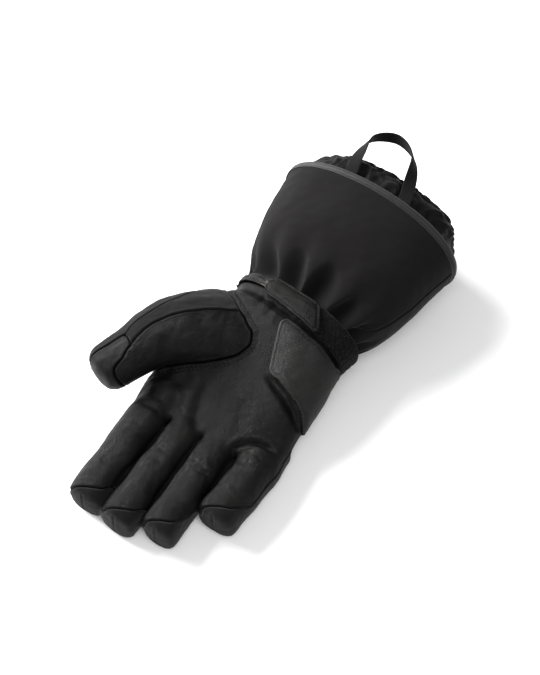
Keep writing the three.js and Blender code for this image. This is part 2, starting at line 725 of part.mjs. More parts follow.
// The pull loop: a band that leaves flat from between sleeve and gauntlet, and turns on to its edge
// towards the top of its arch.
function pullLoop() {
  const underBinding = (GAUNTLET_WALL + BINDING_THICKNESS) / 2;
  const middle = (underBinding + GAUNTLET_WALL + SEWN_GAP + SLEEVE_ROOM) / 2;
  const rows = LOOP_ROWS.map((row, k) => ({ at: k / (LOOP_ROWS.length - 1), ...row }));
  const route = rows.map(({ across, out, stand }) => {
    const inside = Math.min(0, out * LOOP_OUT) / (GAUNTLET_LENGTH - WAIST_HALF);
    const spec = gauntletSpec(1 + inside);
    const u = across * LOOP_SPREAD;
    const drop = 1 - Math.abs(u / (spec.half - middle)) ** spec.power;
    const w = ((spec.top - spec.bottom) / 2 - middle) * drop ** (1 / spec.power);
    const x = spec.x + Math.cos(spec.turn) * u;
    const y = spec.y + Math.max(0, out) * LOOP_OUT - Math.sin(spec.turn) * u;
    return new THREE.Vector3(x, y, (spec.top + spec.bottom) / 2 + w + LOOP_RISE * stand);
  });
  const curve = new THREE.CatmullRomCurve3(route, false, 'centripetal');
  const up = new THREE.Vector3(0, 0, 1);
  const rings = [];
  for (let i = 0; i <= LOOP_STEPS; i += 1) {
    const t = i / LOOP_STEPS;
    const point = curve.getPoint(t);
    const along = curve.getTangent(t);
    const side = new THREE.Vector3().crossVectors(up, along).normalize();
    const face = new THREE.Vector3().crossVectors(along, side).normalize();
    const twist = (Math.PI / 2) * THREE.MathUtils.clamp(between(rows, t).stand, 0, 1);
    const across = side.clone().multiplyScalar(Math.cos(twist)).addScaledVector(face, -Math.sin(twist));
    const thick = new THREE.Vector3().crossVectors(along, across);
    const corner = (a, b) =>
      point
        .clone()
        .addScaledVector(across, (a * LOOP_BAND_WIDTH) / 2)
        .addScaledVector(thick, (b * LOOP_BAND_THICKNESS) / 2);
    rings.push([corner(-1, -1), corner(1, -1), corner(1, 1), corner(-1, 1)]);
  }
  return skin(rings);
}

function heelPad() {
  const outline = new THREE.Shape();
  PAD_OUTLINE.forEach(({ across, along }, k) => {
    const point = [across * PALM_WIDTH, along * PALM_LENGTH];
    if (k === 0) outline.moveTo(...point);
    else outline.lineTo(...point);
  });
  outline.closePath();
  const block = new THREE.ExtrudeGeometry(outline, { depth: 2 * PALM_HEIGHT, bevelEnabled: false });
  block.translate(0, 0, PAD_LOW);
  const thick = palmBody(-SEWN_GAP - PAD_THICKNESS);
  const layer = thick.subtract(palmBody(-SEWN_GAP)).intersect(solidOfGeometry(block));
  return mainBody(layer.subtract(loopStrip(SEWN_GAP)));
}

// A strip of ground that follows one crease's line, seen from above, standing from the pad's low
// level up.
function creaseStrip(rows) {
  const line = rows.map((row) => new THREE.Vector2(row.across * PALM_WIDTH, row.along * PALM_LENGTH));
  const edge = (side) =>
    line.map((point, k) => {
      const run = line[Math.min(k + 1, line.length - 1)].clone().sub(line[Math.max(k - 1, 0)]);
      const aside = new THREE.Vector2(-run.y, run.x).setLength((rows[k].wide * CREASE_WIDTH) / 2);
      return point.clone().addScaledVector(aside, side);
    });
  const outline = new THREE.Shape([...edge(1), ...edge(-1).reverse()]);
  const strip = new THREE.ExtrudeGeometry(outline, { depth: 2 * PALM_HEIGHT, bevelEnabled: false });
  strip.translate(0, 0, PAD_LOW);
  return solidOfGeometry(strip);
}

// What the creases take out of the hand: each strip, down to CREASE_DEPTH under the surface.
function creases() {
  let sunk = palmBody(CREASE_DEPTH);
  for (const finger of FINGER_ROWS) sunk = sunk.add(fingerBody(finger, CREASE_DEPTH));
  const names = [...new Set(CREASE_ROWS.map((row) => row.crease))];
  return names.map((name) =>
    creaseStrip(CREASE_ROWS.filter((row) => row.crease === name)).subtract(sunk),
  );
}

// The hand's walls: the palm and four fingers are one skin, and the thumb is sewn on over a hole.
function handShells() {
  let outer = palmBody(0);
  const lining = (sides) => 2 * Math.round((LINING_KEEP * sides) / 2);
  let inner = palmBody(HAND_WALL, 2 * WAIST_HALF, lining(PALM_SIDES));
  for (const finger of FINGER_ROWS) {
    outer = outer.add(fingerBody(finger, 0));
    inner = inner.add(fingerBody(finger, HAND_WALL, lining(FINGER_SIDES)));
  }
  const thumbInner = thumbBody(HAND_WALL, lining(THUMB_SIDES));
  const walls = outer.subtract(inner).subtract(thumbInner);
  const hand = creases().reduce((left, crease) => left.subtract(crease), walls);
  const thumb = thumbBody(0).subtract(thumbInner).subtract(palmBody(-SEWN_GAP)).subtract(inner);
  return { hand, thumb: mainBody(thumb) };
}

// A block on the palm's side of the thumb's long seam: it follows the thumb, and its boundary leans
// from the seam on top to the seam underneath. grow moves the boundary outwards.
function thumbFrontBlock(grow) {
  const reach = 2 * THUMB_WIDTH;
  const lean = new THREE.Vector2(Math.cos(THUMB_SEAM_LEAN), Math.sin(THUMB_SEAM_LEAN));
  const rings = [];
  for (let k = -1; k <= THUMB_STATIONS.length; k += 0.5) {
    const row = between(THUMB_STATIONS, k);
    const spec = thumbSpec(row);
    const place = (u, w) =>
      new THREE.Vector3(
        spec.x + Math.cos(spec.turn) * u,
        spec.y - Math.sin(spec.turn) * u,
        (spec.top + spec.bottom) / 2 + w,
      );
    const u = row.seam * spec.half - grow * lean.x;
    const w = (spec.top - spec.bottom) / 2 - grow * lean.y;
    const corner = (a, b) => place(u + a * lean.y + b * lean.x, w - a * lean.x + b * lean.y);
    rings.push([corner(-reach, 0), corner(reach, 0), corner(reach, reach), corner(-reach, reach)]);
  }
  return skin(rings);
}

// A block over the thumb's tip, from the cross seam of its cap on.
function thumbTipBlock(grow) {
  const spec = thumbSpec(between(THUMB_STATIONS, THUMB_CAP_START));
  const reach = 3 * THUMB_WIDTH;
  const box = new THREE.BoxGeometry(reach, reach, reach);
  box.translate(0, -reach / 2 + grow, 0);
  box.rotateZ(-spec.turn);
  box.translate(spec.x, spec.y, THUMB_AXIS_HEIGHT);
  return solidOfGeometry(box);
}

// The thumb's three panels: leather on the palm's side, cloth on the back, a leather cap on the tip.
function thumbPanels(thumb) {
  const half = SEWN_GAP / 2;
  const rest = thumb.subtract(thumbFrontBlock(half));
  return {
    leather: mainBody(thumb.intersect(thumbFrontBlock(-half))),
    tip: mainBody(rest.intersect(thumbTipBlock(-half))),
    back: mainBody(rest.subtract(thumbTipBlock(half))),
  };
}

const glove = new THREE.Group();

function addPiece(name, solid, colour, roughness) {
  const mesh = new THREE.Mesh(geometryOf(solid), material(colour, roughness));
  mesh.name = name;
  glove.add(mesh);
}

const { hand, thumb } = handShells();
const panels = thumbPanels(thumb);
const gauntlet = gauntletWall();

addPiece('palm_leather', mainBody(hand.intersect(aboveSideSeam(-SEWN_GAP / 2))), 'leather', 0.55);
addPiece('hand_back', mainBody(hand.subtract(aboveSideSeam(SEWN_GAP / 2))), 'cloth', 0.85);
addPiece('thumb_leather', panels.leather, 'leather', 0.55);
addPiece('thumb_back', panels.back, 'cloth', 0.85);
addPiece('thumb_tip', panels.tip, 'leather', 0.5);
addPiece('heel_pad', heelPad(), 'leather', 0.6);
addPiece('gauntlet_front', gauntlet.intersect(aboveGauntletSeam(-SEWN_GAP / 2)), 'cloth', 0.85);
addPiece('gauntlet_back', gauntlet.subtract(aboveGauntletSeam(SEWN_GAP / 2)), 'cloth', 0.85);
addPiece('rim_binding', binding(), 'binding', 0.6);
addPiece('inner_sleeve', innerSleeve(), 'knit', 0.9);
addPiece('pull_loop', pullLoop(), 'knit', 0.8);
addPiece('wrist_strap', wristStrap(), 'leather', 0.5);
addPiece('loop_strip', loopStrip(), 'fuzz', 0.95);

// The origin is the middle of the underside, on the surface that the glove lies on.
glove.updateMatrixWorld(true);
const bounds = new THREE.Box3().setFromObject(glove, true);
const centre = bounds.getCenter(new THREE.Vector3());
glove.position.set(-centre.x, -centre.y, -bounds.min.z);

export default glove;
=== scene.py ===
"""A padded winter glove, palm up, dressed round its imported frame.

The hand's panels are one skin, rounded from the solids, creased, cut along its seams, then padded and
stitched. The cuff, its binding and the gathered sleeve are swept round the solids they replace,
and the straps and the loop are bands laid along theirs. Lengths in this script are millimetres, and
meshes are written in metres.
"""

import logging
import math
from dataclasses import dataclass, field
from enum import Enum

import bpy
import numpy as np
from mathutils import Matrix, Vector
from mathutils.bvhtree import BVHTree
from mathutils.kdtree import KDTree


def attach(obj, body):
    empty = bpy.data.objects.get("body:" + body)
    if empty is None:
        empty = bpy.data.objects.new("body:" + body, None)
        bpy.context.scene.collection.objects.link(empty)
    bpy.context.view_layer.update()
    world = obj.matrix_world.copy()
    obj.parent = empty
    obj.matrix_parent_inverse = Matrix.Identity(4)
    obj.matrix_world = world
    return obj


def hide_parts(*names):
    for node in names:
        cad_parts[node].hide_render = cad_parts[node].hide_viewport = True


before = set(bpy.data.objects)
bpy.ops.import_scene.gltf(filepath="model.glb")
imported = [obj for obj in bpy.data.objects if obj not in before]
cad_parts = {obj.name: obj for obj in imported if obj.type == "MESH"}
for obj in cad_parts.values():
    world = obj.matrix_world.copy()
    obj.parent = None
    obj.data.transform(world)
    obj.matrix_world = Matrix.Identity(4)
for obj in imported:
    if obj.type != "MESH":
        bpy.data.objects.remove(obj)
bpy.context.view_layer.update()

MM = 0.001
BODY = "root"
# How far the wrist's plane and the cuff's rim are turned about the upright axis.
WRIST_TURN = math.radians(12)
RIM_TURN = math.radians(7)
# How near a cut, as a share of an edge, a point is moved on to it.
SNAP_SHARE = 0.32
# The distance of points that have no thumb seam beside them.
NO_SEAM = 99.0
LOG = logging.getLogger("glove")


class Slot(Enum):
    """The record's material slots."""

    LEATHER = "leather"
    CLOTH = "cloth"
    BINDING = "binding"
    SLEEVE = "sleeve"
    WEBBING = "webbing"
    CLOSING_TAPE = "closing_tape"


class Held(Enum):
    """How a sheet lies."""

    GATHERED = "gathered"
    STRETCHED = "stretched"


class Texture(Enum):
    """The fine surfaces that a finish can have."""

    GRAIN = "leather_grain"
    WEAVE = "fine_weave"


def bell(distance: np.ndarray, width: float) -> np.ndarray:
    """A smooth hump that is 1 at no distance and nearly gone at twice the width."""
    return np.exp(-((distance / width) ** 2))


def ramp(low: float, high: float, value: np.ndarray) -> np.ndarray:
    """A smooth step from 0 at low to 1 at high."""
    t = np.clip((value - low) / (high - low), 0.0, 1.0)
    return t * t * (3.0 - 2.0 * t)


def unit(vectors: np.ndarray) -> np.ndarray:
    """The vectors at length one."""
    return vectors / np.maximum(np.linalg.norm(vectors, axis=-1, keepdims=True), 1e-9)


@dataclass(frozen=True)
class Ripple:
    """Smooth random relief made of many crossed waves, the same on each run.

    Attributes:
        size: From one crest to the next, about.
        seed: Which pattern it is.
        stretch: How much longer the waves are along each axis.
        waves: How many waves there are.
    """

    size: float
    seed: int
    stretch: tuple[float, float, float] = (1.0, 1.0, 1.0)
    waves: int = 18

    def at(self, points: np.ndarray) -> np.ndarray:
        """The relief at each point.

        Args:
            points: The places, one a row.

        Returns:
            One value a point, about -1 to 1.
        """
        draw = np.random.RandomState(self.seed)
        ways = unit(draw.normal(size=(self.waves, 3)))
        spread = draw.uniform(0.65, 1.5, self.waves)
        phase = draw.uniform(0.0, 2.0 * math.pi, self.waves)
        turns = (ways / np.array(self.stretch)) * (2.0 * math.pi / self.size) * spread[:, None]
        return np.sin(points @ turns.T + phase).sum(1) / math.sqrt(self.waves) * 0.8


@dataclass
class Skin:
    """A triangulated surface.

    Attributes:
        points: The places, one a row.
        faces: Three corner numbers a row, turned outwards.
        fields: Named values, one for each point.
    """

    points: np.ndarray
    faces: np.ndarray
    fields: dict[str, np.ndarray] = field(default_factory=dict)

    @staticmethod
    def of_mesh(mesh: bpy.types.Mesh) -> "Skin":
        """A mesh's triangles, with points at the same place made one.

        Args:
            mesh: The mesh, in metres.

        Returns:
            Its surface in millimetres.
        """
        flat = np.empty(len(mesh.vertices) * 3, np.float64)
        mesh.vertices.foreach_get("co", flat)
        mesh.calc_loop_triangles()
        corners = np.empty(len(mesh.loop_triangles) * 3, np.int64)
        mesh.loop_triangles.foreach_get("vertices", corners)
        places = flat.reshape(-1, 3) / MM
        _, first, same = np.unique(np.round(places, 3), axis=0, return_index=True, return_inverse=True)
        faces = same.ravel()[corners].reshape(-1, 3)
        whole = (faces[:, 0] != faces[:, 1]) & (faces[:, 1] != faces[:, 2]) & (faces[:, 0] != faces[:, 2])
        return Skin(places[first], faces[whole])

    @staticmethod
    def of_node(name: str) -> "Skin":
        """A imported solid's surface."""
        return Skin.of_mesh(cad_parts[name].data)

    def normals(self) -> np.ndarray:
        """The direction outwards at each point.

        Returns:
            One direction a point, at length one.
        """
        a, b, c = (self.points[self.faces[:, k]] for k in range(3))
        turned = np.cross(b - a, c - a)
        total = np.zeros_like(self.points)
        for k in range(3):
            for axis in range(3):
                total[:, axis] += np.bincount(self.faces[:, k], turned[:, axis], len(self.points))
        return unit(total)

    def turned_over(self) -> None:
        """Turns every face to the other side."""
        self.faces = self.faces[:, ::-1].copy()

    def lifted(self, low: float = 0.0) -> None:
        """Raises what lies lower than a height to that height."""
        self.points[:, 2] = np.maximum(self.points[:, 2], low)

    def edges(self) -> np.ndarray:
        """Each edge once, as two point numbers a row.

        Returns:
            Pairs of point numbers, the lower first.
        """
        pairs = np.concatenate([self.faces[:, [0, 1]], self.faces[:, [1, 2]], self.faces[:, [2, 0]]])
        pairs.sort(axis=1)
        keys = np.unique(pairs[:, 0] * len(self.points) + pairs[:, 1])
        return np.stack([keys // len(self.points), keys % len(self.points)], 1)

    def blurred(self, values: np.ndarray, rounds: int, share: float = 0.5) -> np.ndarray:
        """Values evened out between neighbours.

        Args:
            values: One value or one row of values for each point.
            rounds: How many times each point moves towards its neighbours' mean.
            share: How far it moves each time.

        Returns:
            The new values.
        """
        i, j = self.edges().T
        count = len(self.points)
        near = np.maximum(np.bincount(i, minlength=count) + np.bincount(j, minlength=count), 1)
        result = values.astype(np.float64).reshape(count, -1).T.copy()
        for _ in range(rounds):
            for row in result:
                total = np.bincount(i, row[j], count) + np.bincount(j, row[i], count)
                row += share * (total / near - row)
        return result.T.reshape(values.shape)

    def rims(self) -> np.ndarray:
        """The open edges, each in the direction its face runs.

        Returns:
            Pairs of point numbers.
        """
        ways = np.concatenate([self.faces[:, [0, 1]], self.faces[:, [1, 2]], self.faces[:, [2, 0]]])
        count = len(self.points)
        keys = ways[:, 0] * count + ways[:, 1]
        return ways[~np.isin(keys, ways[:, 1] * count + ways[:, 0])]

    def from_rims(self) -> np.ndarray:
        """How far each point is from the nearest open edge."""
        return distance_to_points(self.points, self.points[np.unique(self.rims())])

    def kept(self, chosen: np.ndarray) -> "Skin":
        """The part of the surface made of the chosen faces.

        Args:
            chosen: The faces' numbers, or one yes or no a face.

        Returns:
            The part, with its fields.
        """
        faces = self.faces[chosen]
        used, compact = np.unique(faces, return_inverse=True)
        fields = {name: values[used] for name, values in self.fields.items()}
        return Skin(self.points[used], compact.reshape(-1, 3), fields)

    def reached(self, start: np.ndarray) -> np.ndarray:
        """Which points are joined to the starting ones by edges.

        Args:
            start: One yes or no a point.

        Returns:
            One yes or no a point.
        """
        i, j = self.edges().T
        seen = start.copy()
        while True:
            fresh = seen.copy()
            fresh[j[seen[i]]] = True
            fresh[i[seen[j]]] = True
            if (fresh == seen).all():
                return seen
            seen = fresh

    def _snapped(self, values: np.ndarray) -> tuple[np.ndarray, np.ndarray]:
        """Points near the line where the values change sign are moved on to it.

        Args:
            values: One value a point.

        Returns:
            The moved points and their values.
        """
        i, j = self.edges().T
        crossing = values[i] * values[j] < 0
        i, j = i[crossing], j[crossing]
        share = values[i] / (values[i] - values[j])
        place = self.points[i] + share[:, None] * (self.points[j] - self.points[i])
        who = np.where(share < 0.5, i, j)
        away = np.minimum(share, 1 - share)
        close = away < SNAP_SHARE
        order = np.argsort(-away[close])
        who, place = who[close][order], place[close][order]
        points, values = self.points.copy(), values.copy()
        points[who] = place
        values[who] = 0.0
        return points, values

    def split(self, values: np.ndarray) -> tuple["Skin", "Skin"]:
        """Cuts the surface along the line where the values change sign.

        Args:
            values: One value for each point.

        Returns:
            The part below zero and the part above it.
        """
        points, values = self._snapped(values)
        count = len(points)
        sign = np.sign(values).astype(int)
        corner = sign[self.faces]
        mixed = (corner.min(1) < 0) & (corner.max(1) > 0)
        whole, side = self.faces[~mixed], np.sign(corner[~mixed].sum(1))
        cut, corner = self.faces[mixed], corner[mixed]
        touching = (corner == 0).any(1)
        odd = np.where(
            touching,
            np.argmax(corner == 0, 1),
            np.argmax(corner == -np.sign(corner.sum(1, keepdims=True)), 1),
        )
        rolled = np.stack([cut[np.arange(len(cut)), (odd + k) % 3] for k in range(3)], 1)
        pairs = np.concatenate(
            [rolled[touching][:, [1, 2]], rolled[~touching][:, [0, 1]], rolled[~touching][:, [0, 2]]]
        )
        pairs.sort(axis=1)
        keys, number = np.unique(pairs[:, 0] * count + pairs[:, 1], return_inverse=True)
        first, second = keys // count, keys % count
        share = (values[first] / (values[first] - values[second]))[:, None]

        def mixed_in(old: np.ndarray) -> np.ndarray:
            """The values with those of the new points added."""
            flat = old.reshape(count, -1)
            added = flat[first] + share * (flat[second] - flat[first])
            return np.concatenate([flat, added]).reshape((-1,) + old.shape[1:])

        middle = number.ravel() + count
        ends = [int(touching.sum()), int((~touching).sum())]
        on_edge, near, far = np.split(middle, [ends[0], ends[0] + ends[1]])
        a, b, c = rolled[touching].T
        p, q, r = rolled[~touching].T
        faces = [
            whole,
            np.stack([a, b, on_edge], 1),
            np.stack([a, on_edge, c], 1),
            np.stack([p, near, far], 1),
            np.stack([near, q, r], 1),
            np.stack([near, r, far], 1),
        ]
        sides = [side, sign[b], sign[c], sign[p], sign[q], sign[q]]
        fields = {name: mixed_in(old) for name, old in self.fields.items()}
        joined = Skin(mixed_in(points), np.concatenate(faces), fields)
        above = np.concatenate(sides) > 0
        return joined.kept(~above), joined.kept(above)

    def contours(self, values: np.ndarray, level: float) -> list[tuple[np.ndarray, np.ndarray]]:
        """The lines on the surface where the values reach a level.

        Args:
            values: One value for each point.
            level: The level.

        Returns:
            For each line, its points and the direction outwards at them.
        """
        rest = values - level
        rest[rest == 0] = 1e-6
        corner = rest[self.faces] > 0
        mixed = corner.any(1) & ~corner.all(1)
        faces, corner = self.faces[mixed], corner[mixed]
        odd = np.where(corner.sum(1) == 1, np.argmax(corner, 1), np.argmin(corner, 1))
        a, b, c = (faces[np.arange(len(faces)), (odd + k) % 3] for k in range(3))
        count = len(self.points)
        ends = [np.minimum(a, o) * count + np.maximum(a, o) for o in (b, c)]
        keys, number = np.unique(np.concatenate(ends), return_inverse=True)
        first, second = keys // count, keys % count
        share = (rest[first] / (rest[first] - rest[second]))[:, None]
        normals = self.normals()
        places = self.points[first] + share * (self.points[second] - self.points[first])
        facing = unit(normals[first] + share * (normals[second] - normals[first]))
        return [(places[run], facing[run]) for run in chained(number.ravel().reshape(2, -1).T)]

    def hemmed(self, thickness: float, deep: float = 4.0) -> "Skin":
        """The surface with its edges turned in, and no lining further in than the hem is deep.

        Args:
            thickness: The wall's thickness.
            deep: How far in from each edge the lining goes.

        Returns:
            The surface with its hems.
        """
        wall = self.walled(thickness)
        count = len(self.points)
        gap = self.from_rims()
        near = np.concatenate([gap < deep, gap < deep])
        lining = (wall.faces >= count).all(1)
        return wall.kept(~lining | near[wall.faces].all(1))

    def walled(self, thickness: float, rounds: int = 3) -> "Skin":
        """The surface as a closed wall, with its lining side evened out.

        Args:
            thickness: The wall's thickness.
            rounds: How many times the lining is evened out.

        Returns:
            The closed wall.
        """
        count = len(self.points)
        lining = self.blurred(self.points - thickness * self.normals(), rounds)
        rims = self.rims()
        on_rim = np.unique(rims)
        lining[on_rim] = (self.points - thickness * self.normals())[on_rim]
        a, b = rims.T
        hem = np.concatenate([np.stack([a, a + count, b], 1), np.stack([b, a + count, b + count], 1)])
        fields = {name: np.concatenate([old, old]) for name, old in self.fields.items()}
        faces = np.concatenate([self.faces, self.faces[:, ::-1] + count, hem])
        return Skin(np.concatenate([self.points, lining]), faces, fields)


def chained(pairs: np.ndarray) -> list[np.ndarray]:
    """Runs of numbers that follow each other in the pairs.

    Args:
        pairs: Two linked numbers a row.

    Returns:
        Each run in order.
    """
    links: dict[int, list[int]] = {}
    for a, b in pairs.tolist():
        links.setdefault(a, []).append(b)
        links.setdefault(b, []).append(a)
    runs = []
    starts = [n for n, near in links.items() if len(near) == 1] + list(links)
    seen: set[int] = set()
    for start in starts:
        if start in seen:
            continue
        run = [start]
        seen.add(start)
        while True:
            onward = [n for n in links[run[-1]] if n not in seen]
            if not onward:
                break
            run.append(onward[0])
            seen.add(onward[0])
        runs.append(np.array(run))
    return runs


def solids(*names: str) -> Skin:
    """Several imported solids' surfaces as one."""
    return joined([Skin.of_node(name) for name in names])


def joined(skins: list[Skin]) -> Skin:
    """Several surfaces as one, without their fields.

    Args:
        skins: The surfaces.

    Returns:
        One surface.
    """
    starts = np.cumsum([0] + [len(s.points) for s in skins[:-1]])
    points = np.concatenate([s.points for s in skins])
    return Skin(points, np.concatenate([s.faces + at for s, at in zip(skins, starts)]))


def grid_skin(places: np.ndarray, closed: bool = False, wraps: bool = False) -> Skin:
    """A surface through a grid of points.

    Args:
        places: Rows by columns by three coordinates.
        closed: Whether the last column meets the first.
        wraps: Whether the last row meets the first.

    Returns:
        The surface.
    """
    rows, columns = places.shape[:2]
    number = np.arange(rows * columns).reshape(rows, columns)
    if closed:
        number = np.concatenate([number, number[:, :1]], 1)
    if wraps:
        number = np.concatenate([number, number[:1]], 0)
    a, b, c, d = number[:-1, :-1], number[1:, :-1], number[1:, 1:], number[:-1, 1:]
    faces = np.concatenate([np.stack([a, b, c], -1), np.stack([a, c, d], -1)]).reshape(-1, 3)
    return Skin(places.reshape(-1, 3), faces)


def end_caps(rows: int, columns: int) -> tuple[np.ndarray, np.ndarray]:
    """The faces that close the two ends of a tube made as a grid.

    Args:
        rows: How many rings the tube has.
        columns: How many points each ring has.

    Returns:
        The first end's faces and the last end's.
    """
    spots = range(1, columns - 1)
    last = (rows - 1) * columns
    first_faces = np.array([[0, k + 1, k] for k in spots])
    last_faces = np.array([[last, last + k, last + k + 1] for k in spots])
    return first_faces, last_faces


def outward(skin: Skin) -> Skin:
    """The closed surface with its faces turned outwards.

    Args:
        skin: A closed surface.

    Returns:
        The same surface.
    """
    a, b, c = (skin.points[skin.faces[:, k]] for k in range(3))
    if (a * np.cross(b, c)).sum() < 0:
        skin.turned_over()
    return skin


def remeshed(skin: Skin, size: float) -> Skin:
    """The closed surface rebuilt of even squares of one size.

    Args:
        skin: The closed surface.
        size: The squares' side.

    Returns:
        The new surface.
    """
    mesh = bpy.data.meshes.new("rebuild")
    mesh.from_pydata((skin.points * MM).tolist(), [], skin.faces.tolist())
    carrier = bpy.data.objects.new("rebuild", mesh)
    bpy.context.scene.collection.objects.link(carrier)
    even = carrier.modifiers.new("even", "REMESH")
    even.mode = "VOXEL"
    even.voxel_size = size * MM
    held = carrier.evaluated_get(bpy.context.evaluated_depsgraph_get())
    result = Skin.of_mesh(held.to_mesh())
    held.to_mesh_clear()
    bpy.data.objects.remove(carrier)
    bpy.data.meshes.remove(mesh)
    return result


def tree_of(skin: Skin) -> BVHTree:
    """A search tree of a surface's triangles."""
    return BVHTree.FromPolygons(skin.points.tolist(), skin.faces.tolist())


def distance_to(points: np.ndarray, target: Skin, reach: float) -> np.ndarray:
    """How far each point is from a surface, up to a reach.

    Args:
        points: Places, one a row.
        target: The surface.
        reach: The greatest distance looked for.

    Returns:
        One distance a point.
    """
    low, high = target.points.min(0) - reach, target.points.max(0) + reach
    near = np.flatnonzero(((points > low) & (points < high)).all(1))
    result = np.full(len(points), reach)
    find = tree_of(target).find_nearest
    found = [find(place, reach)[3] for place in points[near].tolist()]
    result[near] = [reach if gap is None else gap for gap in found]
    return result


def distance_to_points(points: np.ndarray, targets: np.ndarray) -> np.ndarray:
    """How far each point is from the nearest of some others.

    Args:
        points: Places, one a row.
        targets: The other places, one a row.

    Returns:
        One distance a point.
    """
    tree = KDTree(len(targets))
    for k, place in enumerate(targets.tolist()):
        tree.insert(place, k)
    tree.balance()
    return np.array([tree.find(place)[2] for place in points.tolist()])


def along_line(points: np.ndarray, line: np.ndarray) -> tuple[np.ndarray, np.ndarray]:
    """How far each point is from a line through several places, and where along it that is.

    Args:
        points: Places, one a row.
        line: The line's places, one a row.

    Returns:
        The distance, and the share of the line's length.
    """
    lengths = np.linalg.norm(np.diff(line, axis=0), axis=1)
    starts = np.concatenate([[0.0], np.cumsum(lengths)])
    best = np.full(len(points), 1e9)
    share = np.zeros(len(points))
    for k, length in enumerate(lengths):
        way = (line[k + 1] - line[k]) / length
        t = np.clip((points - line[k]) @ way, 0.0, length)
        gap = np.linalg.norm(points - line[k] - t[:, None] * way, axis=1)
        closer = gap < best
        best[closer] = gap[closer]
        share[closer] = (starts[k] + t[closer]) / starts[-1]
    return best, share


def curve_through(rows: np.ndarray, count: int) -> np.ndarray:
    """A smooth run of points through the rows."""
    padded = np.concatenate([[2 * rows[0] - rows[1]], rows, [2 * rows[-1] - rows[-2]]])
    spots = np.linspace(0, len(rows) - 1 - 1e-9, count)
    k = spots.astype(int)
    t = (spots - k)[:, None]
    p0, p1, p2, p3 = (padded[k + n] for n in range(4))
    return 0.5 * (
        2 * p1 + (p2 - p0) * t + (2 * p0 - 5 * p1 + 4 * p2 - p3) * t**2 + (3 * p1 - p0 - 3 * p2 + p3) * t**3
    )


@dataclass(frozen=True)
class Crease:
    """A valley pressed along a line, with raised shoulders beside it.

    Attributes:
        name: What it is on the glove.
        rows: The line's places in millimetres: (across, along) as seen from above, or with a height.
        width: The valley's half width.
        depth: How deep it is, or how high it stands where it is negative.
        shoulder: How far its shoulders rise.
        taper: Whether it runs out at both ends.
    """

    name: str
    rows: tuple[tuple[float, ...], ...]
    width: float
    depth: float
    shoulder: float = 0.0
    taper: bool = True

    def push(self, points: np.ndarray, facing: np.ndarray) -> np.ndarray:
        """How far each point moves along its direction outwards.

        Args:
            points: The places.
            facing: Directions outwards.

        Returns:
            One distance a point.
        """
        line = curve_through(np.array(self.rows, float), 8 * len(self.rows))
        axes = line.shape[1]
        seen = points[:, :axes]
        low, high = line.min(0) - 4 * self.width, line.max(0) + 4 * self.width
        inside = ((seen > low) & (seen < high)).all(1)
        if axes == 2:
            inside &= facing[:, 2] > 0.0
        near = np.flatnonzero(inside)
        result = np.zeros(len(points))
        gap, share = along_line(seen[near], line)
        fade = np.minimum(ramp(0, 0.25, share), ramp(0, 0.25, 1 - share)) if self.taper else 1.0
        if axes == 2:
            fade = fade * ramp(0.0, 0.35, facing[near, 2])
        valley = -self.depth * bell(gap, self.width)
        rise = self.shoulder * bell(gap - 1.9 * self.width, 0.9 * self.width)
        result[near] = fade * (valley + rise)
        return result


@dataclass(frozen=True)
class Sheet:
    """A thin piece's cut size and how it lies.

    Attributes:
        flat: Its width and length before it is sewn on, in metres.
        held: What holds it.
    """

    flat: tuple[float, float]
    held: Held


@dataclass
class Piece:
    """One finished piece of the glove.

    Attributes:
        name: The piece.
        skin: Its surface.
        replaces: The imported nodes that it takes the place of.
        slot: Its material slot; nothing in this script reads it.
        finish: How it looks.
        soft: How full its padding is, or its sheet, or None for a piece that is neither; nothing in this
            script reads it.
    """

    name: str
    skin: Skin
    replaces: tuple[str, ...]
    slot: Slot
    finish: "Finish"
    soft: float | Sheet | None = None

    def placed(self) -> bpy.types.Object:
        """Returns:
            The object.
        """
        mesh = bpy.data.meshes.new(self.name)
        self.skin.lifted()
        mesh.from_pydata((self.skin.points * MM).tolist(), [], self.skin.faces.tolist())
        # The two attributes carry wear with painted highlights, and painted shade.
        for name in ("worn", "tucked"):
            if name in self.skin.fields:
                layer = mesh.attributes.new(name, "FLOAT", "POINT")
                layer.data.foreach_set("value", self.skin.fields[name].astype(np.float32))
        mesh.polygons.foreach_set("use_smooth", [True] * len(mesh.polygons))
        mesh.materials.append(self.finish.material())
        thing = bpy.data.objects.new(self.name, mesh)
        bpy.context.scene.collection.objects.link(thing)
        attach(thing, BODY)
        if self.replaces:
            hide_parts(*self.replaces)
        LOG.info("%s: %d triangles", self.name, len(self.skin.faces))
        return thing


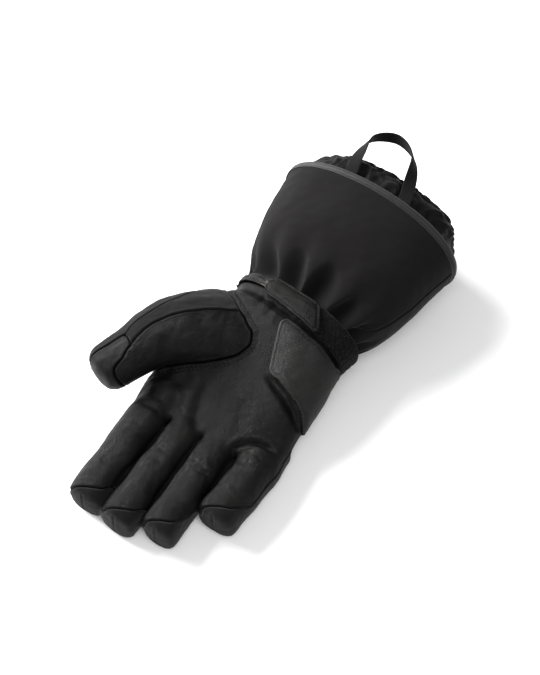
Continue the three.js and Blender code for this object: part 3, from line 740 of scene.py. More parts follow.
@dataclass(frozen=True)
class Stitching:
    """A row of stitches in thick thread.

    Attributes:
        pitch: From one stitch to the next.
        length: One stitch's length.
        thread: The thread's radius.
        sink: How deep the thread's middle lies.
    """

    pitch: float = 3.0
    length: float = 2.3
    thread: float = 0.3
    sink: float = 0.05

    def _one(self) -> Skin:
        """A single stitch along x, with its ends dipping into the leather.

        Returns:
            The stitch, with its middle at the origin.
        """
        sides, count = 6, 5
        turns = np.linspace(0, 2 * math.pi, sides, endpoint=False)
        rings = []
        for spot in np.linspace(-1, 1, count):
            radius = self.thread * math.sqrt(max(0.08, 1 - abs(spot) ** 3))
            drop = -1.3 * self.thread * spot**2
            x = np.full(sides, spot * self.length / 2)
            rings.append(np.stack([x, radius * np.cos(turns), drop + radius * np.sin(turns)], 1))
        body = grid_skin(np.array(rings), closed=True)
        return Skin(body.points, np.concatenate([body.faces, *end_caps(count, sides)]))

    def along(self, line: np.ndarray, facing: np.ndarray) -> Skin | None:
        """Stitches laid along a line.

        Args:
            line: The line's places.
            facing: The direction outwards at each.

        Returns:
            The stitches as one surface, or None if the line is too short.
        """
        steps = np.linalg.norm(np.diff(line, axis=0), axis=1)
        run = np.concatenate([[0.0], np.cumsum(steps)])
        count = int((run[-1] - self.length) // self.pitch)
        if count < 2:
            return None
        middles = self.length / 2 + self.pitch * np.arange(count + 1)

        def at(spots: np.ndarray, values: np.ndarray) -> np.ndarray:
            """The values at some distances along the line."""
            return np.stack([np.interp(spots, run, values[:, k]) for k in range(3)], 1)

        place = at(middles, line)
        way = unit(at(middles + self.length / 2, line) - at(middles - self.length / 2, line))
        up = at(middles, facing)
        up = unit(up - (up * way).sum(1, keepdims=True) * way)
        aside = np.cross(up, way)
        one = self._one()
        local = one.points[None, :, :]
        spread = local[..., :1] * way[:, None] + local[..., 1:2] * aside[:, None]
        spread = spread + (local[..., 2:] - self.sink) * up[:, None] + place[:, None]
        starts = np.arange(len(middles))[:, None, None] * len(one.points)
        return Skin(spread.reshape(-1, 3), (one.faces[None] + starts).reshape(-1, 3))

    def rows(self, lines: list[tuple[np.ndarray, np.ndarray]]) -> list[Skin]:
        """Stitches along each of the lines that is long enough."""
        made = [self.along(line, facing) for line, facing in lines]
        return [row for row in made if row]


class NodeTree:
    """Short ways to add and link shader nodes."""

    def __init__(self, tree: bpy.types.NodeTree) -> None:
        """Works on one node tree."""
        self.tree = tree

    def add(self, kind: str, inputs: dict | None = None, **settings: object) -> bpy.types.Node:
        """Adds a node.

        Args:
            kind: The node's type without its ShaderNode prefix.
            inputs: Values or sockets for its inputs, by name.
            settings: The node's own properties.

        Returns:
            The node.
        """
        node = self.tree.nodes.new("ShaderNode" + kind)
        for name, value in settings.items():
            setattr(node, name, value)
        for name, value in (inputs or {}).items():
            self.feed(node.inputs[name], value)
        return node

    def feed(self, socket: bpy.types.NodeSocket, value: object) -> None:
        """Gives a socket a value, or links another socket to it.

        Args:
            socket: The input.
            value: A number, a colour or an output.
        """
        if isinstance(value, bpy.types.NodeSocket):
            self.tree.links.new(value, socket)
        else:
            socket.default_value = value

    def noise(self, place: bpy.types.NodeSocket, scale: float, detail: float) -> bpy.types.Node:
        """Soft noise over a place."""
        return self.add("TexNoise", {"Vector": place, "Scale": scale, "Detail": detail})

    def maths(self, how: str, *values: object) -> bpy.types.NodeSocket:
        """A sum of two or three values.

        Args:
            how: The operation.
            values: Numbers or outputs.

        Returns:
            The result's socket.
        """
        node = self.add("Math", operation=how)
        for k, value in enumerate(values):
            self.feed(node.inputs[k], value)
        return node.outputs[0]

    def spread(
        self, value: object, low: float, high: float, to: tuple[float, float] = (0.0, 1.0)
    ) -> bpy.types.NodeSocket:
        """A value mapped from one range to another.

        Args:
            value: A number or an output.
            low: The range's start.
            high: The range's end.
            to: The new range.

        Returns:
            The result's socket.
        """
        node = self.add("MapRange", {"Value": value, "From Min": low, "From Max": high})
        node.inputs["To Min"].default_value, node.inputs["To Max"].default_value = to
        return node.outputs[0]

    def mixed(self, share: object, first: object, second: object) -> bpy.types.NodeSocket:
        """Two colours mixed.

        Args:
            share: How much of the second.
            first: A colour.
            second: The other colour.

        Returns:
            The result's socket.
        """
        node = self.add("Mix", data_type="RGBA")
        self.feed(node.inputs[0], share)
        self.feed(node.inputs[6], first)
        self.feed(node.inputs[7], second)
        return node.outputs[2]


def group_of(name: str, inputs: dict[str, float], outputs: tuple[str, ...]) -> tuple | None:
    """A new shader node group, or None if it is there already.

    Args:
        name: The group's name.
        inputs: Its number inputs and their usual values.
        outputs: Its number outputs.

    Returns:
        The group's tree helper, its input node and its output node.
    """
    if name in bpy.data.node_groups:
        return None
    tree = bpy.data.node_groups.new(name, "ShaderNodeTree")
    tree.interface.new_socket("Vector", in_out="INPUT", socket_type="NodeSocketVector")
    for label, value in inputs.items():
        socket = tree.interface.new_socket(label, in_out="INPUT", socket_type="NodeSocketFloat")
        socket.default_value = value
    for label in outputs:
        tree.interface.new_socket(label, in_out="OUTPUT", socket_type="NodeSocketFloat")
    nodes = NodeTree(tree)
    return nodes, tree.nodes.new("NodeGroupInput"), tree.nodes.new("NodeGroupOutput")


def grain_group() -> bpy.types.NodeTree:
    """Leather grain: small rounded cells with pores, and a slow change from cell to cell.

    Returns:
        The node group, made once.
    """
    made = group_of("leather_grain", {"Cell": 0.0009, "Softness": 0.5}, ("Height", "Mottle"))
    if made:
        nodes, given, result = made
        here = given.outputs["Vector"]
        scale = nodes.maths("DIVIDE", 1.0, given.outputs["Cell"])
        bend = nodes.noise(here, 900.0, 2.0)
        shift = nodes.add("VectorMath", {0: bend.outputs["Color"], 1: (0.0006,) * 3}, operation="MULTIPLY")
        place = nodes.add("VectorMath", {0: here, 1: shift.outputs[0]}, operation="ADD")
        where = {"Vector": place.outputs[0], "Scale": scale}
        cells = nodes.add("TexVoronoi", where, feature="DISTANCE_TO_EDGE")
        domes = nodes.spread(cells.outputs["Distance"], 0.0, given.outputs["Softness"])
        pores = nodes.noise(here, 2600.0, 3.0)
        rough = nodes.maths("MULTIPLY_ADD", pores.outputs["Fac"], 0.35, domes)
        slow = nodes.noise(here, 55.0, 4.0)
        nodes.feed(result.inputs["Height"], rough)
        nodes.feed(result.inputs["Mottle"], slow.outputs["Fac"])
    return bpy.data.node_groups["leather_grain"]


def weave_group() -> bpy.types.NodeTree:
    """A fine plain weave: two sets of threads, with lint and a slow change of shade.

    Returns:
        The node group, made once.
    """
    made = group_of("fine_weave", {"Thread": 0.0006, "Lint": 0.5}, ("Height", "Mottle"))
    if made:
        nodes, given, result = made
        here = given.outputs["Vector"]
        turns = nodes.maths("DIVIDE", 2.0 * math.pi, given.outputs["Thread"])
        place = nodes.add("SeparateXYZ", {"Vector": here})
        warp_run = nodes.maths("ADD", place.outputs["X"], nodes.maths("MULTIPLY", place.outputs["Z"], 0.8))
        weft_run = nodes.maths("ADD", place.outputs["Y"], nodes.maths("MULTIPLY", place.outputs["Z"], 0.6))
        warp = nodes.maths("SINE", nodes.maths("MULTIPLY", warp_run, turns))
        weft = nodes.maths("SINE", nodes.maths("MULTIPLY", weft_run, turns))
        crossed = nodes.maths("MAXIMUM", warp, weft)
        lint = nodes.noise(here, 1500.0, 4.0)
        fuzz = nodes.maths("MULTIPLY", lint.outputs["Fac"], given.outputs["Lint"])
        slow = nodes.noise(here, 30.0, 5.0)
        nodes.feed(result.inputs["Height"], nodes.maths("MULTIPLY_ADD", crossed, 0.3, fuzz))
        nodes.feed(result.inputs["Mottle"], slow.outputs["Fac"])
    return bpy.data.node_groups["fine_weave"]


def dust_group() -> bpy.types.NodeTree:
    """Specks of lint and dust that lie on top of dark cloth and leather.

    Returns:
        The node group, made once.
    """
    made = group_of("dust_specks", {"Size": 0.002, "Amount": 0.3}, ("Mask",))
    if made:
        nodes, given, result = made
        here = given.outputs["Vector"]
        scale = nodes.maths("DIVIDE", 1.0, given.outputs["Size"])
        specks = nodes.add("TexVoronoi", {"Vector": here, "Scale": scale})
        dots = nodes.spread(specks.outputs["Distance"], 0.16, 0.05)
        where = nodes.noise(here, 240.0, 2.0)
        some = nodes.spread(where.outputs["Fac"], 0.62, 0.7)
        both = nodes.maths("MULTIPLY", dots, some)
        nodes.feed(result.inputs["Mask"], nodes.maths("MULTIPLY", both, given.outputs["Amount"]))
    return bpy.data.node_groups["dust_specks"]


# How dark the painted shade makes the finishes in seams and folds, and what their dust and roughness are
# like.
PAINTED_SHADE_SHARE = 0.35
DUST_COLOUR = (0.28, 0.27, 0.26, 1.0)
ROUGH_VARIES = 0.22
SHEEN_ROUGH = 0.55


@dataclass(frozen=True)
class Finish:
    """How a surface looks.

    Attributes:
        name: The finish.
        colour: Its usual colour, linear.
        light: The colour of its paler patches, and of its worn places with their painted highlights.
        rough: Its roughness, and the roughness at its worn places.
        texture: Which of the fine surfaces it has.
        cell: The texture's size in metres.
        bump: How deep the texture reads, in metres.
        sheen: The strength of the fibres' sheen.
        gloss: The strength of the mirror reflection.
        dust: How many specks lie on it.
    """

    name: str
    colour: tuple[float, float, float]
    light: tuple[float, float, float]
    rough: tuple[float, float] = (0.5, 0.35)
    texture: Texture = Texture.GRAIN
    cell: float = 0.0009
    bump: float = 0.00012
    sheen: float = 0.0
    gloss: float = 0.5
    dust: float = 0.1

    def material(self) -> bpy.types.Material:
        """The finish as a material, made once.

        Returns:
            The material.
        """
        if self.name in bpy.data.materials:
            return bpy.data.materials[self.name]
        material = bpy.data.materials.new(self.name)
        material.use_nodes = True
        material.node_tree.nodes.clear()
        nodes = NodeTree(material.node_tree)
        place = nodes.add("TexCoord").outputs["Object"]
        texture = nodes.add("Group", node_tree=self._texture())
        nodes.feed(texture.inputs["Vector"], place)
        texture.inputs[1].default_value = self.cell
        dust = nodes.add("Group", node_tree=dust_group())
        nodes.feed(dust.inputs["Vector"], place)
        dust.inputs["Amount"].default_value = self.dust
        # The first attribute pales worn places and paints highlights on them; the second paints shade in
        # seams, folds and hollows.
        worn = nodes.add("Attribute", attribute_name="worn").outputs["Fac"]
        tucked = nodes.add("Attribute", attribute_name="tucked").outputs["Fac"]
        patch = nodes.spread(texture.outputs["Mottle"], 0.3, 0.8, (0.0, 0.14))
        pale = nodes.maths("MAXIMUM", patch, worn)
        mixed = nodes.mixed(pale, (*self.colour, 1.0), (*self.light, 1.0))
        shaded = nodes.mixed(tucked, mixed, tuple(PAINTED_SHADE_SHARE * c for c in self.colour) + (1.0,))
        dusty = nodes.mixed(dust.outputs["Mask"], shaded, DUST_COLOUR)
        rough = nodes.spread(worn, 0.0, 1.0, self.rough)
        uneven = nodes.maths("SUBTRACT", texture.outputs["Mottle"], 0.5)
        varied = nodes.maths("MULTIPLY_ADD", uneven, ROUGH_VARIES, rough)
        relief = {"Height": texture.outputs["Height"], "Distance": self.bump, "Strength": 1.0}
        bump = nodes.add("Bump", relief)
        shader = nodes.add(
            "BsdfPrincipled",
            {"Base Color": dusty, "Roughness": varied, "Normal": bump.outputs["Normal"]},
        )
        shader.inputs["Specular IOR Level"].default_value = self.gloss
        shader.inputs["Sheen Weight"].default_value = self.sheen
        shader.inputs["Sheen Roughness"].default_value = SHEEN_ROUGH
        out = nodes.add("OutputMaterial")
        material.node_tree.links.new(shader.outputs["BSDF"], out.inputs["Surface"])
        return material

    def _texture(self) -> bpy.types.NodeTree:
        """The node group of this finish's fine surface."""
        return grain_group() if self.texture is Texture.GRAIN else weave_group()


PALM_LEATHER = Finish(
    "palm_leather_finish", (0.0045, 0.0043, 0.0043), (0.045, 0.0415, 0.039), (0.44, 0.25),
    cell=0.0011, bump=0.00026, gloss=0.15,
)
PAD_LEATHER = Finish(
    "pad_leather_finish", (0.0105, 0.0101, 0.01), (0.08, 0.075, 0.07), (0.45, 0.3),
    cell=0.0011, bump=0.00024, gloss=0.22,
)
STRAP_LEATHER = Finish(
    "strap_leather_finish", (0.0068, 0.0066, 0.0066), (0.09, 0.084, 0.078), (0.5, 0.27),
    cell=0.0012, bump=0.0003, gloss=0.14,
)
BACK_CLOTH = Finish(
    "back_cloth_finish", (0.009, 0.0084, 0.0086), (0.018, 0.017, 0.017), (0.85, 0.7),
    Texture.WEAVE, cell=0.0007, bump=0.00014, sheen=0.1, gloss=0.1, dust=0.12,
)
CUFF_CLOTH = Finish(
    "cuff_cloth_finish", (0.0092, 0.0083, 0.0085), (0.017, 0.0157, 0.0158), (0.88, 0.75),
    Texture.WEAVE, cell=0.0008, bump=0.00014, sheen=0.08, gloss=0.06, dust=0.12,
)
RIM_TAPE = Finish(
    "rim_tape_finish", (0.0165, 0.016, 0.0162), (0.04, 0.039, 0.039), (0.55, 0.4),
    Texture.WEAVE, cell=0.0005, bump=0.00006, sheen=0.1, gloss=0.3, dust=0.05,
)
SLEEVE_CLOTH = Finish(
    "sleeve_cloth_finish", (0.0034, 0.0034, 0.0038), (0.009, 0.009, 0.0095), (0.62, 0.5),
    Texture.WEAVE, cell=0.0006, bump=0.00008, sheen=0.02, gloss=0.14, dust=0.15,
)
WEBBING = Finish(
    "webbing_finish", (0.0038, 0.0038, 0.0042), (0.012, 0.012, 0.0125), (0.7, 0.5),
    Texture.WEAVE, cell=0.0012, bump=0.00025, sheen=0.03, gloss=0.18, dust=0.1,
)
CLOSING_FUZZ = Finish(
    "closing_fuzz_finish", (0.0035, 0.0035, 0.0036), (0.03, 0.029, 0.028), (0.9, 0.8),
    Texture.WEAVE, cell=0.0009, bump=0.0003, sheen=0.05, gloss=0.1, dust=0.7,
)
THREAD = Finish(
    "thread_finish", (0.016, 0.0155, 0.0155), (0.03, 0.029, 0.029), (0.6, 0.5),
    Texture.WEAVE, cell=0.0004, bump=0.00005, sheen=0.05, gloss=0.35, dust=0.0,
)


@dataclass(frozen=True)
class Seam:
    """How a panel is turned in at its seams and puffed out between them.

    Attributes:
        roll: How deep the edge goes in.
        tuck: Over what distance it does so.
        bead: How high the edge rolls up beside the seam.
        puff: How much the padding lifts the panel far from its seams.
        soft: Over what distance the padding does so.
    """

    roll: float = 1.0
    tuck: float = 0.7
    bead: float = 0.3
    puff: float = 0.5
    soft: float = 9.0

    def lift(self, gap: np.ndarray) -> np.ndarray:
        """How far each point moves outwards, from its distance to the seam.

        Args:
            gap: The distances to the seam.

        Returns:
            One distance a point.
        """
        turned = -self.roll * bell(gap, self.tuck)
        rolled = self.bead * bell(gap - 2.4 * self.tuck, 1.4 * self.tuck)
        return turned + rolled + self.puff * (1 - np.exp(-gap / self.soft))


@dataclass(frozen=True)
class Wrinkles:
    """A patch of sharp little folds.

    Attributes:
        name: Where it is.
        middle: The patch's middle from above, in millimetres.
        reach: The patch's half size along the folds and across them.
        turn: The folds' direction in degrees from +X.
        size: From one fold to the next.
        depth: How deep they are.
        seed: Which of the random patterns it is.
    """

    name: str
    middle: tuple[float, float]
    reach: tuple[float, float]
    turn: float
    size: float
    depth: float
    seed: int

    def strength(self, points: np.ndarray) -> tuple[np.ndarray, np.ndarray]:
        """The places in the patch's own directions, and how much of the patch is there.

        Args:
            points: The places.

        Returns:
            The turned places and the shares, 0 to 1.
        """
        turn = math.radians(self.turn)
        way = np.array([[math.cos(turn), math.sin(turn)], [-math.sin(turn), math.cos(turn)]])
        local = (points[:, :2] - np.array(self.middle)) @ way.T
        mask = np.exp(-((local[:, 0] / self.reach[0]) ** 2) - (local[:, 1] / self.reach[1]) ** 2)
        return np.concatenate([local, 0.8 * points[:, 2:]], 1), mask

    def push(self, points: np.ndarray, facing: np.ndarray) -> np.ndarray:
        """How far each point moves along its direction outwards.

        Args:
            points: The places.
            facing: Directions outwards.

        Returns:
            One distance a point.
        """
        result = np.zeros(len(points))
        local, mask = self.strength(points)
        mask = mask * ramp(-0.1, 0.3, facing[:, 2])
        near = mask > 0.02
        wave = Ripple(self.size, self.seed, (3.2, 1.0, 1.0)).at(local[near])
        valley = np.clip(1 - 1.2 * np.abs(wave), 0, 1)
        result[near] = self.depth * mask[near] * (0.45 * wave - valley)
        return result


PALM_RELIEF = (
    Crease("little finger's root", ((33, -106), (36, -97), (43, -91), (53, -88), (64, -88)), 2.2, 3.0, 0.9),
    Crease("below the heel pad", ((25, -41), (35, -46), (47, -51), (59, -57), (67, -66)), 3.4, 3.0, 0.8),
    Crease("valley from the index finger", ((-20, -106), (-22, -94), (-26, -76), (-29, -62)), 5.5, 2.3, 0.5),
    Crease("valley from the middle finger", ((7, -103), (-3, -91), (-8, -76), (-9, -60)), 5.5, 2.0, 0.5),
    Crease("valley from the ring finger", ((36, -99), (31, -88), (24, -74), (20, -62)), 6.0, 0.8, 0.1),
    Crease("under the thumb's mound", ((-40, -82), (-24, -74), (-10, -62), (-2, -48)), 5.0, 1.9, 0.4),
    Crease("hollow of the thumb", ((-38, -82), (-44, -71), (-50, -61)), 5.0, 1.6, 0.0),
    Crease("index finger's first fold", ((-52, -107), (-40, -104), (-26, -103)), 2.6, 0.9, 0.3),
    Crease("first pucker under the strap", ((-10, 14), (-9, 6), (-10, -3)), 2.4, 0.6, 0.1),
    Crease("second pucker under the strap", ((3, 12), (3, 3), (0, -8)), 2.6, 0.7, 0.1),
    Crease(
        "gap beside the index finger",
        ((-21.5, -172), (-21.5, -150), (-20.5, -125), (-19, -107)), 1.5, 2.6, 0.0,
    ),
    Crease("gap beside the middle finger", ((8.5, -176), (8.5, -150), (8, -125), (7, -104)), 1.5, 2.6, 0.0),
    Crease("gap beside the ring finger", ((37.5, -150), (37, -130), (36, -112), (35, -103)), 1.5, 2.6, 0.0),
)
FINGER_WRINKLES = (
    Wrinkles("index finger's joint", (-40, -125), (12, 8), 4, 8.5, 0.35, 11),
    Wrinkles("index finger's tip joint", (-37, -158), (11, 9), 2, 8.0, 0.28, 12),
    Wrinkles("middle finger's joint", (-8, -130), (11, 11), -6, 8.0, 0.5, 13),
    Wrinkles("middle finger's tip joint", (-7, -163), (11, 8), 3, 8.0, 0.28, 14),
    Wrinkles("ring finger's joint", (23, -126), (11, 12), -8, 7.5, 0.6, 15),
    Wrinkles("ring finger's tip joint", (23, -157), (11, 8), 0, 8.0, 0.28, 16),
    Wrinkles("little finger's joint", (49, -104), (11, 11), -10, 8.0, 0.55, 17),
    Wrinkles("little finger's tip joint", (52, -134), (11, 8), -6, 8.0, 0.28, 18),
    Wrinkles("thumb's leather", (-30, -52), (26, 15), 78, 8.0, 0.22, 19),
    Wrinkles("thumb's joint", (-60, -82), (14, 11), 42, 4.8, 0.4, 20),
)
PALM_WRINKLES = Wrinkles("palm", (-2, -52), (30, 26), 20, 11.0, 0.1, 21)
THUMB_SEAM = Crease(
    "thumb's cloth seam",
    ((-57, -14), (-61, -26), (-67, -41), (-72, -55), (-76, -67), (-77, -76), (-82, -86), (-86, -94)),
    0.75, 0.9, 0.25, False,
)


@dataclass(frozen=True)
class Fingertip:
    """A finger's blunt cloth end, with a seam down its middle and one across it.

    Attributes:
        across: The middle of the end, along X.
        along: How far the end reaches, along Y.
        shift: How far the end is moved in plan, to meet its outline in the photograph.
        wide: The end's half width.
    """

    across: float
    along: float
    shift: tuple[float, float]
    wide: float = 11.0

    def moved(self, points: np.ndarray) -> np.ndarray:
        """How far the end is moved in plan.

        Args:
            points: The places.

        Returns:
            One step a point.
        """
        near = ramp(1.9, 1.2, np.abs(points[:, 0] - self.across) / self.wide)
        near = near * ramp(self.along + 30, self.along + 6, points[:, 1])
        return near[:, None] * np.array([*self.shift, 0.0])

    def seams(self) -> tuple[Crease, ...]:
        """The end's two grooves.

        Returns:
            The groove down the end and the one across it.
        """
        down = tuple((self.across, self.along + 0.4, z) for z in (27.0, 21.0, 15.0, 8.0))
        ks = (-1.0, -0.5, 0.0, 0.5, 1.0)
        level = tuple((self.across + k * self.wide, self.along + 0.6 + 3.0 * abs(k) ** 3, 6.0) for k in ks)
        return (
            Crease("down the end", down, 0.9, 0.8, 0.2, False),
            Crease("across the end", level, 0.9, 0.6, 0.2, False),
        )

    def lean(self, points: np.ndarray) -> np.ndarray:
        """How the leather's edge climbs across the end, towards the little finger's side.

        Args:
            points: The places.

        Returns:
            One distance a point.
        """
        across = (points[:, 0] - self.across) / self.wide
        near = ramp(1.7, 1.15, np.abs(across)) * ramp(self.along + 24, self.along + 12, points[:, 1])
        return near * (3.0 + 5.0 * np.clip(across, -1.0, 1.2))


FINGERTIPS = (
    Fingertip(-35, -186.7, (-0.3, -1.7)),
    Fingertip(-6, -189.8, (-0.2, -1.0)),
    Fingertip(23, -181.6, (0.4, -1.8)),
    Fingertip(52.3, -153.3, (-1.3, -0.2)),
)


THUMB_STITCHES = Stitching(pitch=3.4, length=2.3, thread=0.42, sink=0.1)
PAD_STITCHES = Stitching(pitch=3.0, length=2.0, thread=0.36, sink=0.1)
RIM_STITCHES = Stitching(pitch=3.0, length=2.2, thread=0.3, sink=0.0)
STRAP_STITCHES = Stitching(pitch=3.0, length=2.0, thread=0.36, sink=0.08)


@dataclass
class Hand:
    """The padded hand: five panels cut from one skin, the pad on its heel, and their stitching.

    Attributes:
        voxel: The side of the squares that the skin is rebuilt of.
        grow: How far the solids are grown, so that their gaps close.
        trim: How far short of the solids the skin ends at the wrist.
        touching: The height below which the skin's outside rests on the ground.
        rounding: How far the skin is rounded, in square millimetres.
        seam_rounding: How far the seam lines are rounded, in square millimetres.
        strap_middle: How far the strap's middle lies from the hand's end.
        thumb_rows: How far the two stitch rows lie from the thumb's seam.
        wall: The panels' thickness.
        pad: The heel pad's thickness.
        pad_row: How far its stitches lie from its edge.
        nodes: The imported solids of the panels.
        threads: The stitches made so far.
    """

    voxel: float = 0.95
    grow: float = 0.34
    trim: float = 1.2
    touching: float = 0.8
    rounding: float = 5.6
    seam_rounding: float = 5.0
    strap_middle: float = 11.0
    thumb_rows: tuple[float, ...] = (2.2, 4.7)
    wall: float = 1.7
    pad: float = 1.9
    pad_row: float = 2.6
    nodes: tuple[str, ...] = ("palm_leather", "hand_back", "thumb_leather", "thumb_back", "thumb_tip")
    threads: list[Skin] = field(default_factory=list)

    def wrist(self) -> tuple[np.ndarray, float]:
        """The wrist's direction towards the cuff, and where the hand ends along it.

        Returns:
            The direction and the distance.
        """
        out = along_way(WRIST_TURN)
        points = solids("palm_leather", "hand_back").points
        return out, float((points @ out).max())

    def rounded(self) -> Skin:
        """The whole hand as one smooth skin, open at the wrist.

        Returns:
            The skin.
        """
        blocks = []
        for name in self.nodes:
            block = Skin.of_node(name)
            block.points = block.points + self.grow * block.normals()
            blocks.append(block)
        skin = remeshed(joined(blocks), self.voxel)
        out, end = self.wrist()
        skin = skin.kept(((skin.points @ out)[skin.faces] < end - self.trim).all(1))
        outside = skin.reached(skin.points[:, 2] < self.touching)
        skin = skin.kept(outside[skin.faces].all(1))
        skin.points = skin.blurred(skin.points, self.rounds(self.rounding))
        skin.lifted()
        return skin

    def rounds(self, spread: float) -> int:
        """How many blurring rounds even out the skin over a spread, in square millimetres."""
        return max(2, int(spread / (0.25 * self.voxel**2)))

    def labelled(self, skin: Skin) -> None:
        """Marks on the skin where its panels lie.

        Args:
            skin: The whole hand.
        """
        gaps = {name: distance_to(skin.points, Skin.of_node(name), 30.0) for name in self.nodes}
        thumb = np.minimum(np.minimum(gaps["thumb_leather"], gaps["thumb_back"]), gaps["thumb_tip"])
        hand = np.minimum(gaps["palm_leather"], gaps["hand_back"])
        shares = {
            "thumb": thumb - hand,
            "side": gaps["palm_leather"] - gaps["hand_back"],
            "long": gaps["thumb_leather"] - np.minimum(gaps["thumb_back"], gaps["thumb_tip"]),
            "cap": gaps["thumb_tip"] - gaps["thumb_back"],
        }
        shares["side"] = shares["side"] + sum(tip.lean(skin.points) for tip in FINGERTIPS)
        shares["cap"] = np.maximum(shares["cap"] + 6.0, self.outer_thumb(skin.points))
        shares["long"] = shares["long"] - self.inner_thumb(skin.points)
        rounds = self.rounds(self.seam_rounding)
        skin.fields = {name: skin.blurred(values, rounds) for name, values in shares.items()}

    def outer_thumb(self, points: np.ndarray) -> np.ndarray:
        """Above zero where the thumb's back cloth runs down beside the cap."""
        beside = (points[:, :2] - np.array([-75.0, -69.0])) @ np.array([-0.9, 0.43])
        return np.minimum(beside, 0.7 * (points[:, 1] + 101.0))

    def inner_thumb(self, points: np.ndarray) -> np.ndarray:
        """How far down the thumb's leather wraps, on the side towards the fingers.

        Args:
            points: The places.

        Returns:
            One distance a point.
        """
        local = points[:, :2] - np.array([-30.0, -50.0])
        along = local @ np.array([-0.67, -0.74])
        beside = local @ np.array([0.74, -0.67])
        return 13.0 * ramp(1.0, 7.0, beside) * ramp(10.0, 22.0, along) * ramp(62.0, 56.0, along)

    def pressed(self, skin: Skin) -> None:
        """Presses the folds into the whole skin, and lets it dip under the strap.

        Args:
            skin: The whole hand.
        """
        facing = skin.normals()
        marks = (*PALM_RELIEF, *FINGER_WRINKLES, PALM_WRINKLES)
        push = sum(mark.push(skin.points, facing) for mark in marks)
        on_thumb = skin.fields["thumb"] < 0
        push += np.where(on_thumb, THUMB_SEAM.push(skin.points, facing), 0.0)
        for tip in FINGERTIPS:
            for mark in tip.seams():
                push += mark.push(skin.points, facing)
        push += 0.4 * Ripple(26.0, 3).at(skin.points) + 0.12 * Ripple(7.0, 4).at(skin.points)
        out, end = self.wrist()
        from_strap = end - self.strap_middle - skin.points @ out
        up = ramp(0.1, 0.6, facing[:, 2])
        push -= up * (2.2 * bell(from_strap, 4.2) + 0.8 * ramp(0.0, -6.0, from_strap))
        skin.points = skin.points + push[:, None] * facing
        skin.points = skin.points + sum(tip.moved(skin.points) for tip in FINGERTIPS)
        skin.lifted()

    def seamed(self, skin: Skin) -> dict[str, Skin]:
        """Cuts the skin into its panels, along even seams.

        Args:
            skin: The whole hand.

        Returns:
            The panels by their nodes' names.
        """
        thumb_skin, hand_skin = skin.split(skin.fields["thumb"])
        palm, back = hand_skin.split(hand_skin.fields["side"])
        leather, rest = thumb_skin.split(thumb_skin.fields["long"])
        tip, cloth = rest.split(rest.fields["cap"])
        return dict(zip(self.nodes, (palm, back, leather, cloth, tip)))

    def build(self) -> list[Piece]:
        """Builds the panels, the pad and the thread.

        Returns:
            The pieces.
        """
        skin = self.rounded()
        LOG.info("rounded hand: %d points", len(skin.points))
        self.labelled(skin)
        self.pressed(skin)
        panels = self.seamed(skin)
        cloths = ("hand_back", "thumb_back")
        pieces = []
        for name, panel in panels.items():
            finish, slot = (BACK_CLOTH, Slot.CLOTH) if name in cloths else (PALM_LEATHER, Slot.LEATHER)
            top = self.rolled(panel, Seam())
            if name == "palm_leather":
                self.sewn(top)
                pieces.append(self.heel(top))
            pieces.append(Piece(f"{name}_skin", top.hemmed(self.wall), (name,), slot, finish, 0.7))
        pieces.append(Piece("hand_thread", joined(self.threads), (), Slot.LEATHER, THREAD))
        return pieces

    def rolled(self, panel: Skin, seam: Seam) -> Skin:
        """Rolls a panel's edges in at its seams, and puffs it out between them.

        Args:
            panel: The panel.
            seam: How its edges lie.

        Returns:
            The panel, changed.
        """
        out, end = self.wrist()
        rims = np.unique(panel.rims())
        sewn = rims[(panel.points[rims] @ out) < end - 2.5]
        gap = distance_to_points(panel.points, panel.points[sewn])
        panel.fields["from_thumb"] = self.from_thumb(panel, sewn)
        lift = seam.lift(gap)
        from_strap = end - self.strap_middle - panel.points @ out
        lift = np.where(from_strap < 6, np.minimum(lift, 0.0), lift)
        rows = sum(bell(panel.fields["from_thumb"] - row, 0.65) for row in self.thumb_rows)
        rows = rows * (panel.fields["thumb"] > 0) * ramp(10.0, 14.0, panel.points[:, 2])
        panel.points = panel.points + (lift - 0.6 * rows)[:, None] * panel.normals()
        panel.lifted()
        # Painted shade along the seams, in the thumb's stitch grooves and in a band under the strap's edge.
        painted_shade_under_strap = 0.9 * ramp(5.0, 0.5, from_strap)
        panel.fields["tucked"] = np.maximum(np.maximum(bell(gap, 0.9), 0.95 * rows), painted_shade_under_strap)
        panel.fields["worn"] = self.worn(panel.points)
        return panel

    def from_thumb(self, panel: Skin, sewn: np.ndarray) -> np.ndarray:
        """How far each point is from the thumb's own seam.

        Args:
            panel: The panel.
            sewn: The numbers of the points on its seams.

        Returns:
            One distance a point.
        """
        on_seam = sewn[np.abs(panel.fields["thumb"][sewn]) < 0.3]
        if len(on_seam) == 0:
            return np.full(len(panel.points), NO_SEAM)
        return distance_to_points(panel.points, panel.points[on_seam])

    def worn(self, points: np.ndarray) -> np.ndarray:
        """Where the leather is rubbed and carries painted highlights: the folds' crests at the joints, and
        the thumb's tip.

        Args:
            points: The places.

        Returns:
            One share a point, 0 to 1.
        """
        result = np.zeros(len(points))
        for mark in FINGER_WRINKLES:
            local, mask = mark.strength(points)
            patches = ramp(0.0, 1.3, Ripple(4.6, mark.seed + 40).at(points))
            result = np.maximum(result, 0.6 * (mark.depth / 0.6) ** 2 * mask * patches)
        return np.clip(result, 0, 1)

    def sewn(self, palm: Skin) -> None:
        """Two rows of stitches round the thumb.

        Args:
            palm: The palm's panel.
        """
        for row in self.thumb_rows:
            self.threads += THUMB_STITCHES.rows(palm.contours(palm.fields["from_thumb"], row))

